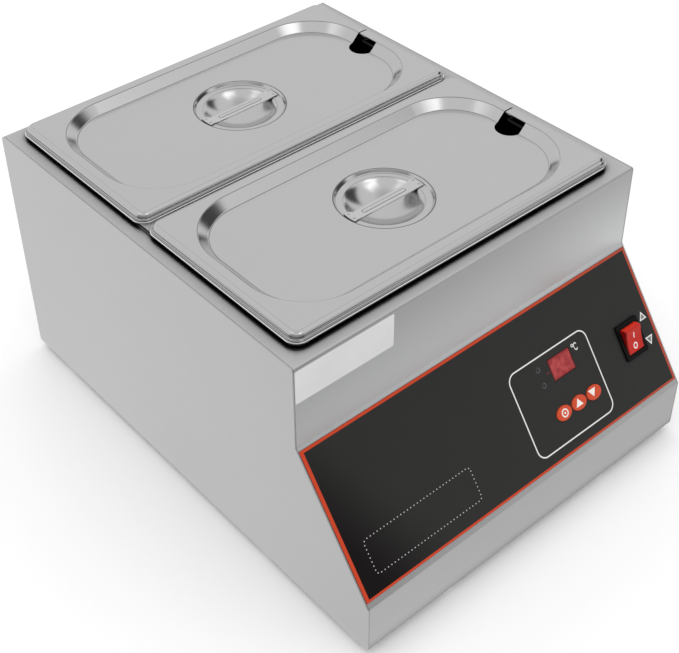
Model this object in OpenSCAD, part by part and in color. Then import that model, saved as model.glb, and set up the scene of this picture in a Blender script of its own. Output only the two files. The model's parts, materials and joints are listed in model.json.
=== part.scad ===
// Electric melting pot for chocolate: two lift-out pans over dry heated wells
// in a sheet steel housing, with a sloping control panel at the front.
// X runs to the right, Y to the back, Z up. The object stands on Z = 0.

/* [Pans] */
// Length of a pan over its rim
pan_l = 325; // [300:1:360]
// Width of a pan over its rim
pan_w = 176; // [165:1:190]
// Height of a pan from its base to the top of its rim
pan_h = 100; // [85:1:105]
// Sheet thickness of a pan
pan_t = 1; // [0.8:0.1:1.2]
// Gap between the rims of the two pans
pan_gap = 4; // [3:0.5:8]
// Corner radius of a pan rim
rim_r = 11; // [9:0.5:14]
// Distance from the rim edge to the pan wall at the mouth
rim_w = 12.5; // [12:0.5:14]
// Corner radius of a pan wall at the mouth
mouth_r = 46; // [40:1:48]
// How much further in a pan wall stands at its base
pan_draft = 4; // [2:0.5:8]
// Radius between wall and base of a pan
pan_base_r = 12; // [8:1:18]

/* [Lids] */
// Sheet thickness of a lid
lid_t = 0.9; // [0.6:0.1:1]
// Height of the raised lid border above the pan rim
border_h = 5.8; // [4.8:0.2:7]
// Radius of the shoulder at the edge of the border
shoulder_r = 4; // [3:0.25:4.25]
// Distance from the rim edge to the pressed centre
recess_in = 12.5; // [11.5:0.5:14]
// Corner radius of the pressed centre
recess_r = 54; // [48:1:60]
// Depth of the pressed centre
recess_h = 8; // [6:0.5:9]
// Outer radius of the ring round the finger bowl
ring_r = 38; // [36:0.5:42]
// Depth of that ring below the pressed centre
ring_h = 2; // [1.5:0.1:2.5]
// Radius of the finger bowl at its edge
bowl_r = 31.5; // [29:0.5:32]
// Depth of the finger bowl
bowl_h = 14; // [11:0.5:16]
// Width of the spoon notch
notch_w = 24; // [18:1:30]
// Distance from the lid edge to the centre of the notch end
notch_in = 20; // [18:0.5:24]
// How far the notch lies behind the middle of the lid
notch_off = 3; // [-8:0.5:8]
// Width of the handle at its ends
strap_w = 13; // [10:0.5:15]
// Width of the handle at its waist
strap_waist = 10; // [8:0.5:12]
// Thickness of the handle
strap_t = 1.2; // [1:0.1:1.5]
// How far the handle is raised between its ends
strap_rise = 2.4; // [1.5:0.1:3]

/* [Housing] */
// Margin beside the pans
side_margin = 12.5; // [12:0.5:30]
// Margin in front of the pans
front_margin = 12; // [12:0.5:30]
// Margin behind the pans
rear_margin = 10; // [10:0.5:30]
// Height of the housing without its feet
body_h = 226; // [215:1:260]
// Height of the upright face above the panel
upper_face_h = 74; // [65:1:80]
// How far the panel slopes forward
slope_run = 76; // [70:1:90]
// Height of the upright face below the panel
lower_face_h = 47; // [40:1:55]
// Thickness of the housing sheet
sheet_t = 1; // [0.8:0.1:1.2]
// Outer radius of the sheet bends
bend_r = 2; // [1.6:0.2:3]
// Width of the returns that carry base and rear panel
return_w = 14; // [12:1:18]
// Height of the raised seat under the pan rims
seat_h = 3.2; // [2.6:0.1:4]
// How far the seat stays inside the rim edge
seat_in = 2.2; // [1.8:0.1:3]
// Height of the feet
foot_h = 7; // [5:0.5:12]
// Diameter of the feet
foot_d = 22; // [18:1:30]
// Distance of the feet from the housing edges
foot_in = 32; // [28:1:45]

/* [Heating] */
// Distance from the rim edge to the well wall
well_in = 8.5; // [8:0.5:9]
// Corner radius of a well
well_r = 50; // [47:1:54]
// Wall thickness of a well
well_t = 1.5; // [1:0.1:2]
// Air gap between pan base and well floor
air_gap = 6; // [5:0.5:8]
// Length of a heater mat
mat_l = 230; // [200:5:240]
// Width of a heater mat
mat_w = 92; // [80:2:96]
// Thickness of a heater mat
mat_t = 2; // [1.5:0.5:3]
// Thickness of the clamp plate under a mat
clamp_t = 1.5; // [1:0.5:2]
// Thickness of the insulation
wool_t = 8; // [6:0.5:8]

/* [Panel] */
// Width of the rocker switch bezel
bezel_w = 25.6; // [25:0.2:27]
// Height of the rocker switch bezel
bezel_h = 31; // [31:0.2:33]
// Thickness of the bezel
bezel_t = 2; // [1.5:0.25:2.5]
// Tilt of the rocker to either side of its middle
rocker_tilt = 16; // [12:1:18]
// Width of a key
key_w = 16.2; // [14:0.2:16.4]
// Height of a key
key_h = 12; // [10:0.5:13]
// Distance between the keys
key_pitch = 17.6; // [17.5:0.1:19]
// Travel of a key
key_travel = 0.5; // [0.3:0.1:0.6]
// Width of the display window
window_w = 24.6; // [22:0.2:26]
// Height of the display window
window_h = 18; // [16:0.5:20]

/* [Hidden] */

// General
$fn = 48;
cut = 1;                    // overrun of every cut
fit = 0.3;                  // running clearance
corner_steps = 7;           // steps of a pressed corner
bend_steps = 4;             // steps of a sheet bend
circle_gap = 0.3;           // straight left between the corners of a round pressed ring
oval_steps = 24;            // steps round a key
quarter = 90;               // a right angle

// Overall places
top_d = front_margin + 2 * pan_w + pan_gap + rear_margin;
body_w = pan_l + 2 * side_margin;
base_t = sheet_t;
stand_h = foot_h + base_t;
gland_reach = 22;
total_d = slope_run + top_d + gland_reach;
face_y = slope_run - total_d / 2;
sheet_d = top_d - sheet_t;
slope_top = body_h - upper_face_h;
slope_angle = atan2(slope_top - lower_face_h, slope_run);
slope_len = norm([slope_run, slope_top - lower_face_h]);
rim_top = seat_h + pan_t;
lid_top = rim_top + border_h;
pan_pitch = pan_w + pan_gap;
seat_l = pan_l - 2 * seat_in;
seat_w = pan_w + pan_pitch - 2 * seat_in;
well_floor = rim_top - pan_h - air_gap;
mat_top = well_floor - well_t;
clamp_top = mat_top - mat_t;
clamp_base = clamp_top - clamp_t;

// Fasteners
screw_d = 4;
hole_d = screw_d + fit;
screw_head_d = 8;
screw_head_h = 2.4;
screw_l = 7;
screw_nut = 7;
screw_nut_h = 3.2;
stud_d = 5;
stud_nut = 8;
stud_nut_h = 4;
stud_reach = stud_nut_h + 2;
stud_in = 14;
stud_base = clamp_base - stud_reach;

// Colours
steel_tone = "silver";
alu_tone = "gainsboro";
board_tone = "darkgreen";

// Straight geometry

function unit(v) = v / norm(v);
function left_of(v) = [-v.y, v.x];
function turned(v, a) = [v.x * cos(a) - v.y * sin(a), v.x * sin(a) + v.y * cos(a)];

// Vertex of a path moved sideways by d
function moved_vertex(a, b, c, d) =
    let (p = left_of(unit(b - a)), q = left_of(unit(c - b))) b + d * (p + q) / (1 + p * q);

// A whole open path moved sideways by d
function moved_path(path, d) = let (last = len(path) - 1) [for (i = [0:last])
    i == 0 ? path[0] + d * left_of(unit(path[1] - path[0]))
    : i == last ? path[last] + d * left_of(unit(path[last] - path[last - 1]))
    : moved_vertex(path[i - 1], path[i], path[i + 1], d)];

// Bend of radius r at b, which a sheet on its right side thickens by d
function bend(a, b, c, r, d) =
    let (u = unit(b - a), turn = atan2(cross(u, unit(c - b)), u * unit(c - b)), side = sign(turn),
        radius = r + side * d, start = b - u * radius * tan(abs(turn) / 2),
        centre = start + side * radius * left_of(u))
    [for (k = [0:bend_steps]) centre + turned(start - centre, turn * k / bend_steps)];

// An open path with all its inner corners bent
function bent_path(path, r, d) = concat([path[0]],
    [for (i = [1:len(path) - 2], p = bend(path[i - 1], path[i], path[i + 1], r, d)) p],
    [path[len(path) - 1]]);

function reversed(list) = [for (i = [len(list) - 1:-1:0]) list[i]];

// Pressed sheet: a stack of rounded rectangles [length, width, radius, height, lean]

function corner(x, y, r, start, z) =
    [for (k = [0:corner_steps]) let (a = start + quarter * k / corner_steps)
        [x + r * cos(a), y + r * sin(a), z]];

function ring(s) = let (x = s[0] / 2 - s[2], y = s[1] / 2 - s[2], r = s[2], z = s[3]) concat(
    corner(x, y, r, 0, z), corner(-x, y, r, quarter, z),
    corner(-x, -y, r, 2 * quarter, z), corner(x, -y, r, 3 * quarter, z));

// A station moved through the sheet: a lean of 0 goes straight down, 90 towards the middle
function through(s, t) = [s[0] - 2 * t * sin(s[4]), s[1] - 2 * t * sin(s[4]),
    s[2] - t * sin(s[4]), s[3] - t * cos(s[4]), s[4]];

// Station at a distance from the edge of a pan, its corner struck from the same centre as the rim
function at_edge(in, r, z, lean) = [pan_l - 2 * in, pan_w - 2 * in, r, z, lean];
function at_rim(in, z, lean) = at_edge(in, rim_r - in, z, lean);
function round_station(r, z, lean) = [2 * r, 2 * r, r - circle_gap, z, lean];

module skin(rings) {
    m = len(rings[0]);
    n = len(rings);
    polyhedron(points = [for (r = rings, p = r) p], faces = concat(
        [[for (j = [0:m - 1]) j]],
        [for (i = [0:n - 2], j = [0:m - 1])
            [i * m + j, (i + 1) * m + j, (i + 1) * m + (j + 1) % m, i * m + (j + 1) % m]],
        [[for (j = [m - 1:-1:0]) (n - 1) * m + j]]), convexity = 10);
}

// Sheet of thickness t whose upper side follows the stations, listed from the edge to the middle
module pressed(stations, t)
    skin(concat([for (i = [len(stations) - 1:-1:0]) ring(through(stations[i], t))],
        [for (s = stations) ring(s)]));

// Frames

module housing_frame() translate([0, face_y, stand_h]) children();
module plate_frame() housing_frame() translate([0, 0, body_h]) children();
module pan_frame(k) plate_frame() translate([0, front_margin + pan_w / 2 + k * pan_pitch, 0]) children();
module panel_frame(x = 0, down = 0)
    housing_frame() translate([0, 0, slope_top]) rotate([slope_angle, 0, 0])
        translate([x, -down, 0]) children();

// Plates and fasteners

module rounded(l, w, r) {
    square([l - 2 * r, w], center = true);
    square([l, w - 2 * r], center = true);
    for (x = [-1, 1], y = [-1, 1]) translate([x * (l / 2 - r), y * (w / 2 - r)]) circle(r);
}

module slot(l, w) {
    square([l - w, w], center = true);
    for (x = [-1, 1]) translate([x * (l - w) / 2, 0]) circle(d = w);
}

module screw(d, l, head_d, head_h) {
    translate([0, 0, -l]) cylinder(d = d, h = l);
    difference() {
        intersection() {
            cylinder(d = head_d, h = head_h);
            translate([0, 0, head_h - head_d]) sphere(r = head_d);
        }
        for (a = [0, quarter]) rotate(a)
            translate([-head_d / 3, -head_d / 16, head_h / 2]) cube([head_d * 2 / 3, head_d / 8, head_h]);
    }
}

module hex_nut(across, h, d) difference() {
    cylinder(d = across / cos(30), h = h, $fn = 6);
    translate([0, 0, -cut]) cylinder(d = d, h = h + 2 * cut);
}

// A lead of diameter d along its points
module lead(points, d) {
    for (i = [0:len(points) - 2]) {
        run = points[i + 1] - points[i];
        translate(points[i]) rotate([0, acos(run.z / norm(run)), atan2(run.y, run.x)])
            cylinder(d = d, h = norm(run), $fn = 24);
    }
    for (i = [1:1:len(points) - 2]) translate(points[i]) sphere(d = d * 1.06, $fn = 24);
}

// Housing

function wrap_path() = [[return_w - slope_run, 0], [-slope_run, 0], [-slope_run, lower_face_h],
    [0, slope_top], [0, body_h], [sheet_d, body_h], [sheet_d, body_h - return_w]];

panel_edge = 3.6;           // from the top of the slope to the overlay
overlay_t = 0.4;
overlay_side = 1.5;         // bare steel beside the overlay
overlay_l = body_w - 2 * overlay_side;
overlay_h = 121;
key_x = body_w / 2 - 105.5;               // middle key, right of the centre line
key_down_slope = 92.6;
window_x = body_w / 2 - 106.9;
window_down = 58;
led_x = body_w / 2 - 131;
led_down = [51.2, 64.6];
led_d = 2.8;
rocker_x = body_w / 2 - 30.8;
rocker_down = 73.3;
bezel_lip = 1.8;            // bezel beyond the switch body
switch_w = bezel_w - 2 * bezel_lip;
switch_h = bezel_h - 2 * bezel_lip;
lens_lip = 1.2;             // flange round the window behind the sheet

module oval(grow) polygon([for (p = oval_ring(grow, 0)) [p.x, p.y]]);

function oval_ring(grow, z) = [for (k = [0:oval_steps - 1]) [(key_w / 2 + grow) * cos(k * 360 / oval_steps),
    (key_h / 2 + grow) * sin(k * 360 / oval_steps), z]];

// Every opening that the panel and its overlay share
module panel_openings(gap) {
    for (k = [-1:1]) translate([key_x + k * key_pitch, -key_down_slope]) oval(gap / 2);
    translate([window_x, -window_down]) square([window_w + gap, window_h + gap], center = true);
    for (d = led_down) translate([led_x, -d]) circle(d = led_d + gap);
    translate([rocker_x, -rocker_down]) square([switch_w + gap, switch_h + gap], center = true);
}

standoff_d = 6;
board_screw_d = 3;
board_hole_d = board_screw_d + fit;
board_w = 84;
board_l = 62;
board_t = 1.6;
board_down = 75;
board_x = body_w / 2 - 109;
board_gap = 13;             // from the back of the sheet to the board
board_hole_in = 4;

module board_corners(w, l, in) for (x = [-1, 1], y = [-1, 1])
    translate([x * (w / 2 - in), y * (l / 2 - in), 0]) children();

module body_wrap() color(steel_tone) difference() {
    union() {
        housing_frame() rotate([quarter, 0, quarter])
            translate([0, 0, sheet_t - body_w / 2]) linear_extrude(body_w - 2 * sheet_t)
                polygon(concat(bent_path(wrap_path(), bend_r, 0),
                    reversed(bent_path(moved_path(wrap_path(), -sheet_t), bend_r, sheet_t))));
        translate([0, 0, -sheet_t / 2]) pan_seat(0, seat_h + sheet_t / 2);
    }
    translate([0, 0, -sheet_t - cut]) pan_seat(sheet_t, seat_h + cut);
    for (k = [0, 1]) pan_frame(k) translate([0, 0, -cut]) linear_extrude(seat_h + 2 * cut)
        rounded(pan_l - 2 * well_in, pan_w - 2 * well_in, well_r);
    panel_frame() translate([0, 0, -sheet_t - cut]) linear_extrude(sheet_t + 2 * cut)
        panel_openings(2 * fit);
    housing_frame() for (x = base_screw_x()) translate([x, return_w / 2 - slope_run, -cut])
        cylinder(d = hole_d, h = sheet_t + 2 * cut);
}

module pan_seat(in, h) plate_frame()
    translate([0, front_margin + (pan_w + pan_pitch) / 2, 0]) linear_extrude(h)
        rounded(seat_l - 2 * in, seat_w - 2 * in, rim_r - seat_in - in);

function base_screw_x() = [-body_w / 4, body_w / 4];
function side_screw_y() = [sheet_d / 8, sheet_d * 7 / 8];
function rear_screw_z() = [body_h / 8, body_h / 2, body_h * 7 / 8];

module side_panel(side) color(steel_tone) housing_frame() mirror([side < 0 ? 1 : 0, 0, 0]) {
    x = body_w / 2;
    translate([x - sheet_t, 0, 0]) rotate([quarter, 0, quarter]) linear_extrude(sheet_t)
        polygon(concat(bent_path(wrap_path(), bend_r, 0), [[sheet_d, 0]]));
    difference() {
        translate([x - return_w, return_w - slope_run + fit, 0])
            cube([return_w - sheet_t / 2, sheet_d + slope_run - return_w - sheet_t - 2 * fit, sheet_t]);
        for (y = side_screw_y()) translate([x - return_w / 2 - sheet_t, y, -cut])
            cylinder(d = hole_d, h = sheet_t + 2 * cut);
    }
    difference() {
        translate([x - return_w, sheet_d - sheet_t, 0])
            cube([return_w - sheet_t / 2, sheet_t, body_h - return_w - fit]);
        for (z = rear_screw_z()) translate([x - return_w / 2 - sheet_t, sheet_d - sheet_t - cut, z])
            rotate([-quarter, 0, 0]) cylinder(d = hole_d, h = sheet_t + 2 * cut);
    }
}

module side_panel_left() side_panel(-1);
module side_panel_right() side_panel(1);

vent_w = 4;
vent_l = 46;
vent_pitch = 12;
vent_rows = 6;
gland_d = 16;
gland_x = body_w / 2 - 65;
gland_z = 42;
vent_x = [-70, 0];
vent_z = 46;

module vents(rows) for (k = [0:rows - 1]) translate([0, k * vent_pitch]) slot(vent_l, vent_w);

module rear_panel() color(steel_tone) housing_frame() translate([0, sheet_d, 0])
    rotate([quarter, 0, 0]) mirror([0, 0, 1]) difference() {
        translate([-body_w / 2, 0, 0]) cube([body_w, body_h - bend_r, sheet_t]);
        translate([gland_x, gland_z, -cut]) cylinder(d = gland_d, h = sheet_t + 2 * cut);
        for (x = vent_x) translate([x, vent_z, -cut]) linear_extrude(sheet_t + 2 * cut) vents(vent_rows);
        for (x = [-1, 1], z = rear_screw_z())
            translate([x * (body_w / 2 - return_w / 2 - sheet_t), z, -cut])
                cylinder(d = hole_d, h = sheet_t + 2 * cut);
    }

base_in = 3;                // base plate inside the housing edges
base_vent_x = [-90, 0, 90];
base_vent_y = 150;
base_d = sheet_d + slope_run - 2 * base_in;

module base_plate() color(steel_tone) housing_frame() translate([0, 0, -base_t]) difference() {
    translate([base_in - body_w / 2, base_in - slope_run, 0]) cube([body_w - 2 * base_in, base_d, base_t]);
    for (x = base_vent_x) translate([x, base_vent_y, -cut]) linear_extrude(base_t + 2 * cut) vents(vent_rows);
    at_base_screws() translate([0, 0, -cut]) cylinder(d = hole_d, h = base_t + 2 * cut);
    at_feet() translate([0, 0, -cut]) cylinder(d = hole_d, h = base_t + 2 * cut);
    translate([earth_x, earth_y, -cut]) cylinder(d = stud_d + fit, h = base_t + 2 * cut);
    at_power_board() translate([0, 0, -cut]) cylinder(d = board_hole_d, h = base_t + 2 * cut);
}

module at_base_screws() {
    for (x = base_screw_x()) translate([x, return_w / 2 - slope_run, 0]) children();
    for (x = [-1, 1], y = side_screw_y())
        translate([x * (body_w / 2 - return_w / 2 - sheet_t), y, 0]) children();
}

module at_feet() for (x = [-1, 1], y = [foot_in - slope_run, top_d - foot_in])
    translate([x * (body_w / 2 - foot_in), y, 0]) children();

module rear_panel_screws() color("gray") housing_frame() for (x = [-1, 1], z = rear_screw_z())
    translate([x * (body_w / 2 - return_w / 2 - sheet_t), top_d, z]) rotate([-quarter, 0, 0])
        screw(screw_d, screw_l, screw_head_d, screw_head_h);

module base_screws() color("gray") housing_frame() at_base_screws()
    translate([0, 0, -base_t]) mirror([0, 0, 1]) screw(screw_d, screw_l, screw_head_d, screw_head_h);

foot_pocket_d = 10;
foot_web = 3;
foot_taper = 2;

module rubber_feet() color("dimgray") housing_frame() at_feet() translate([0, 0, -stand_h])
    difference() {
        cylinder(d1 = foot_d - foot_taper, d2 = foot_d, h = foot_h);
        translate([0, 0, -cut]) cylinder(d = foot_pocket_d, h = foot_h - foot_web + cut);
        cylinder(d = hole_d, h = foot_h + cut);
    }

module foot_screws() color("gray") housing_frame() at_feet() {
    translate([0, 0, foot_h - foot_web - stand_h]) mirror([0, 0, 1])
        screw(screw_d, foot_web + base_t + screw_nut_h + fit, screw_head_d, screw_head_h);
    hex_nut(screw_nut, screw_nut_h, screw_d);
}

// Wells and heaters

well_lip = 3.4;             // width of the flange round a well
well_draft = 2;
well_base_r = 10;
lip_bend = 1;               // inner radius where the flange meets the wall

module heating_well(k) color(alu_tone) pan_frame(k) pressed([
    at_edge(well_in - well_t - well_lip, well_r - well_t, seat_h - sheet_t, 0),
    at_edge(well_in - lip_bend / 2, well_r, seat_h - sheet_t, 0),
    at_edge(well_in, well_r, seat_h - sheet_t - lip_bend / 2, -quarter),
    at_edge(well_in + well_draft, well_r - well_draft, well_floor + well_base_r, -quarter),
    at_edge(well_in + well_draft + well_base_r * 0.29, well_r - well_draft - well_base_r * 0.29,
        well_floor + well_base_r * 0.29, -quarter / 2),
    at_edge(well_in + well_draft + well_base_r, well_r - well_draft - well_base_r, well_floor, 0)], well_t);

module heating_well_front() heating_well(0);
module heating_well_rear() heating_well(1);

module at_studs() for (x = [-1, 1], y = [-1, 1])
    translate([x * (mat_l / 2 - stud_in), y * (mat_w / 2 - stud_in), 0]) children();

module mat_plate(l, w, t) difference() {
    linear_extrude(t) rounded(l, w, stud_in / 2);
    at_studs() translate([0, 0, -cut]) cylinder(d = stud_d + fit, h = t + 2 * cut);
}

module heater_mat(k) color("tan") pan_frame(k) translate([0, 0, clamp_top]) mat_plate(mat_l, mat_w, mat_t);
module heater_mat_front() heater_mat(0);
module heater_mat_rear() heater_mat(1);

module heater_clamp(k) color(steel_tone) pan_frame(k) translate([0, 0, clamp_base]) {
    mat_plate(mat_l, mat_w, clamp_t);
    // stiffening beads pressed along the plate
    for (y = [-1, 1]) translate([0, y * mat_w / 4, -clamp_t / 2]) linear_extrude(clamp_t)
        slot(mat_l / 2, stud_in / 2);
}
module heater_clamp_front() heater_clamp(0);
module heater_clamp_rear() heater_clamp(1);

module clamp_studs() color("gray") for (k = [0, 1]) pan_frame(k) at_studs() {
    translate([0, 0, stud_base]) cylinder(d = stud_d, h = mat_top - stud_base);
    translate([0, 0, clamp_base - stud_nut_h]) hex_nut(stud_nut, stud_nut_h, stud_d);
}

wool_gap = 0.5;
wool_hole_d = 44;

module insulation(k) color("khaki") pan_frame(k) difference() {
    floor_z = stud_base - wool_t;
    wool_in = well_in - well_t - wool_gap;
    translate([0, 0, floor_z]) linear_extrude(-sheet_t - floor_z)
        rounded(pan_l - 2 * (wool_in - wool_t), pan_w - 2 * (wool_in - wool_t), well_r + wool_t);
    translate([0, 0, stud_base]) linear_extrude(cut - stud_base)
        rounded(pan_l - 2 * wool_in, pan_w - 2 * wool_in, well_r);
    translate([0, 0, floor_z - cut]) cylinder(d = wool_hole_d, h = wool_t + 2 * cut);
}
module insulation_front() insulation(0);
module insulation_rear() insulation(1);

probe_d = 4;
probe_l = 34;
probe_x = 50;
probe_y = 0;
probe_clip_w = 8;
probe_clip_t = 1;

module temperature_probe() color("lightgray") pan_frame(0)
    translate([probe_x, probe_y, clamp_base - probe_d / 2]) {
        rotate([0, quarter, 0]) cylinder(d = probe_d, h = probe_l, center = true);
        difference() {
            translate([-probe_clip_w / 2, -probe_d, -probe_d / 2 - probe_clip_t])
                cube([probe_clip_w, 2 * probe_d, probe_d + probe_clip_t]);
            translate([0, 0, probe_d / 4])
                cube([probe_clip_w + cut, probe_d, probe_d * 3 / 2], center = true);
        }
    }

cutout_d = 16;
cutout_h = 6;
cutout_ear_l = 24;
cutout_ear_w = 8;
cutout_ear_t = 1;
blade_w = 6.3;
blade_t = 0.8;
blade_l = 8;

module thermal_cutouts() color("peru") for (k = [0, 1]) pan_frame(k) translate([0, 0, clamp_base]) {
    translate([0, 0, -cutout_ear_t]) linear_extrude(cutout_ear_t) slot(cutout_ear_l, cutout_ear_w);
    translate([0, 0, -cutout_h]) cylinder(d = cutout_d, h = cutout_h);
    for (x = [-1, 1]) translate([x * cutout_d / 4 - blade_t / 2, -blade_w / 2, -cutout_h - blade_l])
        cube([blade_t, blade_w, blade_l + cut]);
}

// Pans and lids

rim_turn = 0.6;             // radius of the turned rim edge
neck_r = 3;                 // radius between rim and wall

function pan_stations() = let (floor_z = rim_top - pan_h + pan_t, foot = rim_w + pan_t + pan_draft,
    low_r = mouth_r - pan_t - pan_draft, s = 1 - cos(45)) [
    at_rim(0, seat_h - rim_turn, quarter),
    at_rim(0, rim_top - rim_turn, quarter),
    at_rim(rim_turn * s, rim_top - rim_turn * s, quarter / 2),
    at_rim(rim_turn, rim_top, 0),
    at_edge(rim_w + pan_t - neck_r, mouth_r + neck_r - pan_t, rim_top, 0),
    at_edge(rim_w + pan_t - neck_r * s, mouth_r + neck_r * s - pan_t, rim_top - neck_r * s, -quarter / 2),
    at_edge(rim_w + pan_t, mouth_r - pan_t, rim_top - neck_r, -quarter),
    at_edge(foot, low_r, floor_z + pan_base_r, -quarter),
    at_edge(foot + pan_base_r * (1 - cos(30)), low_r - pan_base_r * (1 - cos(30)),
        floor_z + pan_base_r / 2, -60),
    at_edge(foot + pan_base_r / 2, low_r - pan_base_r / 2, floor_z + pan_base_r * (1 - cos(30)), -30),
    at_edge(foot + pan_base_r, low_r - pan_base_r, floor_z, 0)];

module pan(k) color(steel_tone) pan_frame(k) pressed(pan_stations(), pan_t);
module pan_front() pan(0);
module pan_rear() pan(1);

lip_in = 0.6;               // lid lip inside the pan rim edge
lip_w = 1.4;                // flat of the lid lip
recess_edge_r = 2.5;
recess_lean = 45;           // slope of the recess wall
bowl_edge_r = 1.6;
bowl_shares = [1, 0.8, 0.6, 0.4, 0.2];

function lid_stations() = let (lip_top = rim_top + lid_t, wall = lip_in + lip_w + lid_t / 2,
    round_z = lid_top - shoulder_r, floor_z = lid_top - recess_h, ring_z = floor_z - ring_h,
    s = 1 - cos(recess_lean), e = recess_edge_r,
    edge_run = e * sin(recess_lean), wall_run = recess_h - 2 * e * s,
    wall_end = recess_in + 2 * edge_run + wall_run,
    bowl_R = (bowl_r * bowl_r + bowl_h * bowl_h) / (2 * bowl_h), bowl_a = asin(bowl_r / bowl_R),
    bowl_c = ring_z - bowl_h + bowl_R)
    concat([
        at_rim(lip_in, lip_top, 0),
        at_rim(lip_in + lip_w, lip_top, 0),
        at_rim(wall, lip_top + lid_t / 2, quarter)],
        [for (a = [0:30:90]) at_rim(wall + shoulder_r * (1 - cos(a)),
            round_z + shoulder_r * sin(a), quarter - a)], [
        at_edge(recess_in, recess_r, lid_top, 0),
        at_edge(recess_in + edge_run, recess_r - edge_run, lid_top - e * s, -recess_lean),
        at_edge(recess_in + edge_run + wall_run, recess_r - edge_run - wall_run,
            floor_z + e * s, -recess_lean),
        at_edge(wall_end, recess_r - 2 * edge_run - wall_run, floor_z, 0),
        round_station(ring_r, floor_z, 0),
        round_station(ring_r - ring_h / 2, floor_z - ring_h / 2, -recess_lean),
        round_station(ring_r - ring_h, ring_z, 0),
        round_station(bowl_r + bowl_edge_r, ring_z, 0)],
        [for (q = bowl_shares) round_station(bowl_R * sin(bowl_a * q) - bowl_edge_r * (1 - q) / 4,
            bowl_c - bowl_R * cos(bowl_a * q) - bowl_edge_r / 4, -bowl_a * q)]);

slit_w = 1.4;               // width of the slit that runs on from the notch
slit_in = 3.6;              // distance from the lid edge to the end of the slit

module notch_outline() translate([pan_l / 2 - notch_in, notch_off]) {
    circle(d = notch_w);
    translate([0, -notch_w / 2]) square([notch_in - recess_in - recess_edge_r / 2, notch_w]);
    translate([0, notch_w / 2 - slit_w]) square([notch_in - slit_in, slit_w]);
}

module lid(k) color(steel_tone) pan_frame(k) difference() {
    pressed(lid_stations(), lid_t);
    translate([0, 0, lid_top - recess_h - lid_t - cut]) linear_extrude(lid_top) notch_outline();
}
module lid_front() lid(0);
module lid_rear() lid(1);

strap_end_in = 0.8;         // handle end inside the ring wall
strap_pad = 5.5;            // flat end of the handle
strap_step = 4;             // run of the joggle between end and waist
rib_w = 3.6;
rib_h = 0.5;
rib_l = 44;

module lid_handle(k) color(steel_tone) pan_frame(k)
    translate([0, 0, lid_top - recess_h - ring_h]) {
        end = ring_r - ring_h - strap_end_in;
        pad = end - strap_pad;
        waist = pad - strap_step;
        intersection() {
            rotate([quarter, 0, 0]) translate([0, 0, -strap_w / 2]) linear_extrude(strap_w)
                polygon([[-end, 0], [-pad, 0], [-waist, strap_rise], [waist, strap_rise], [pad, 0], [end, 0],
                    [end, strap_t], [pad, strap_t], [waist, strap_rise + strap_t],
                    [-waist, strap_rise + strap_t], [-pad, strap_t], [-end, strap_t]]);
            translate([0, 0, -cut]) linear_extrude(strap_rise + strap_t + 2 * cut) intersection() {
                circle(end);
                union() {
                    square([2 * end, strap_waist], center = true);
                    for (x = [-1, 1]) translate([x * (pad + strap_pad / 2), 0])
                        square([strap_pad + strap_step, strap_w], center = true);
                }
            }
        }
        translate([0, 0, strap_rise + strap_t / 2]) linear_extrude(strap_t / 2 + rib_h) slot(rib_l, rib_w);
    }
module lid_handle_front() lid_handle(0);
module lid_handle_rear() lid_handle(1);

// Control panel

module control_overlay() color("#2f2f2e") panel_frame() linear_extrude(overlay_t) difference() {
    translate([-overlay_l / 2, -panel_edge - overlay_h]) square([overlay_l, overlay_h]);
    panel_openings(2 * fit);
}

module_top = 3.2;           // display module below the panel surface

module display_window() color("firebrick") panel_frame(window_x, window_down) {
    translate([0, 0, -sheet_t]) linear_extrude(sheet_t + overlay_t)
        square([window_w, window_h], center = true);
    translate([0, 0, fit - module_top]) linear_extrude(module_top - sheet_t - fit)
        square([window_w + 2 * lens_lip, window_h + 2 * lens_lip], center = true);
}

key_top = 1.2;              // key above the overlay
key_lip = 1;                // flange that keeps a key in its opening
key_lip_t = 1;
key_stem_d = 4;
key_stem_l = 2.2;
key_round = 1;

module key(k) color("orangered") panel_frame(key_x + k * key_pitch, key_down_slope) {
    top = overlay_t + key_top;
    lip = -sheet_t - fit;
    skin([oval_ring(0, lip), oval_ring(0, top - key_round),
        oval_ring(-key_round * 0.13, top - key_round / 2), oval_ring(-key_round / 2, top - key_round * 0.13),
        oval_ring(-key_round, top), oval_ring(-key_h / 4, top + key_round / 4)]);
    translate([0, 0, lip - key_lip_t]) linear_extrude(key_lip_t + fit / 2) intersection() {
        oval(key_lip);
        square([key_pitch - fit, key_h + 2 * key_lip], center = true);
    }
    translate([0, 0, lip - key_lip_t - key_stem_l]) cylinder(d = key_stem_d, h = key_stem_l + key_lip_t);
}
module key_set() key(-1);
module key_up() key(0);
module key_down() key(1);

board_top = -sheet_t - board_gap;
lens_base_d = 4;
lens_base_h = 4;

module indicator_lenses() color("darkgray") for (d = led_down) panel_frame(led_x, d) {
    translate([0, 0, board_top]) cylinder(d = led_d, h = overlay_t - board_top);
    translate([0, 0, board_top]) cylinder(d = lens_base_d, h = lens_base_h);
}

module display_board() color(board_tone) panel_frame(board_x, board_down)
    translate([0, 0, board_top - board_t]) difference() {
        linear_extrude(board_t) square([board_w, board_l], center = true);
        board_corners(board_w, board_l, board_hole_in) translate([0, 0, -cut])
            cylinder(d = board_hole_d, h = board_t + 2 * cut);
    }

digit_w = 11;
digit_gap = 0.6;

module display_module() color("#3a1c1c") panel_frame(window_x, window_down) for (x = [-1, 1])
    translate([x * (digit_w + digit_gap) / 2, 0, board_top]) linear_extrude(-module_top - board_top)
        square([digit_w, window_h - 2 * lens_lip], center = true);

tact_w = 6;
tact_h = 4;
tact_plunger_d = 3.4;
tact_gap = 0.1;             // left between plunger and stem when a key is pressed home

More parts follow.
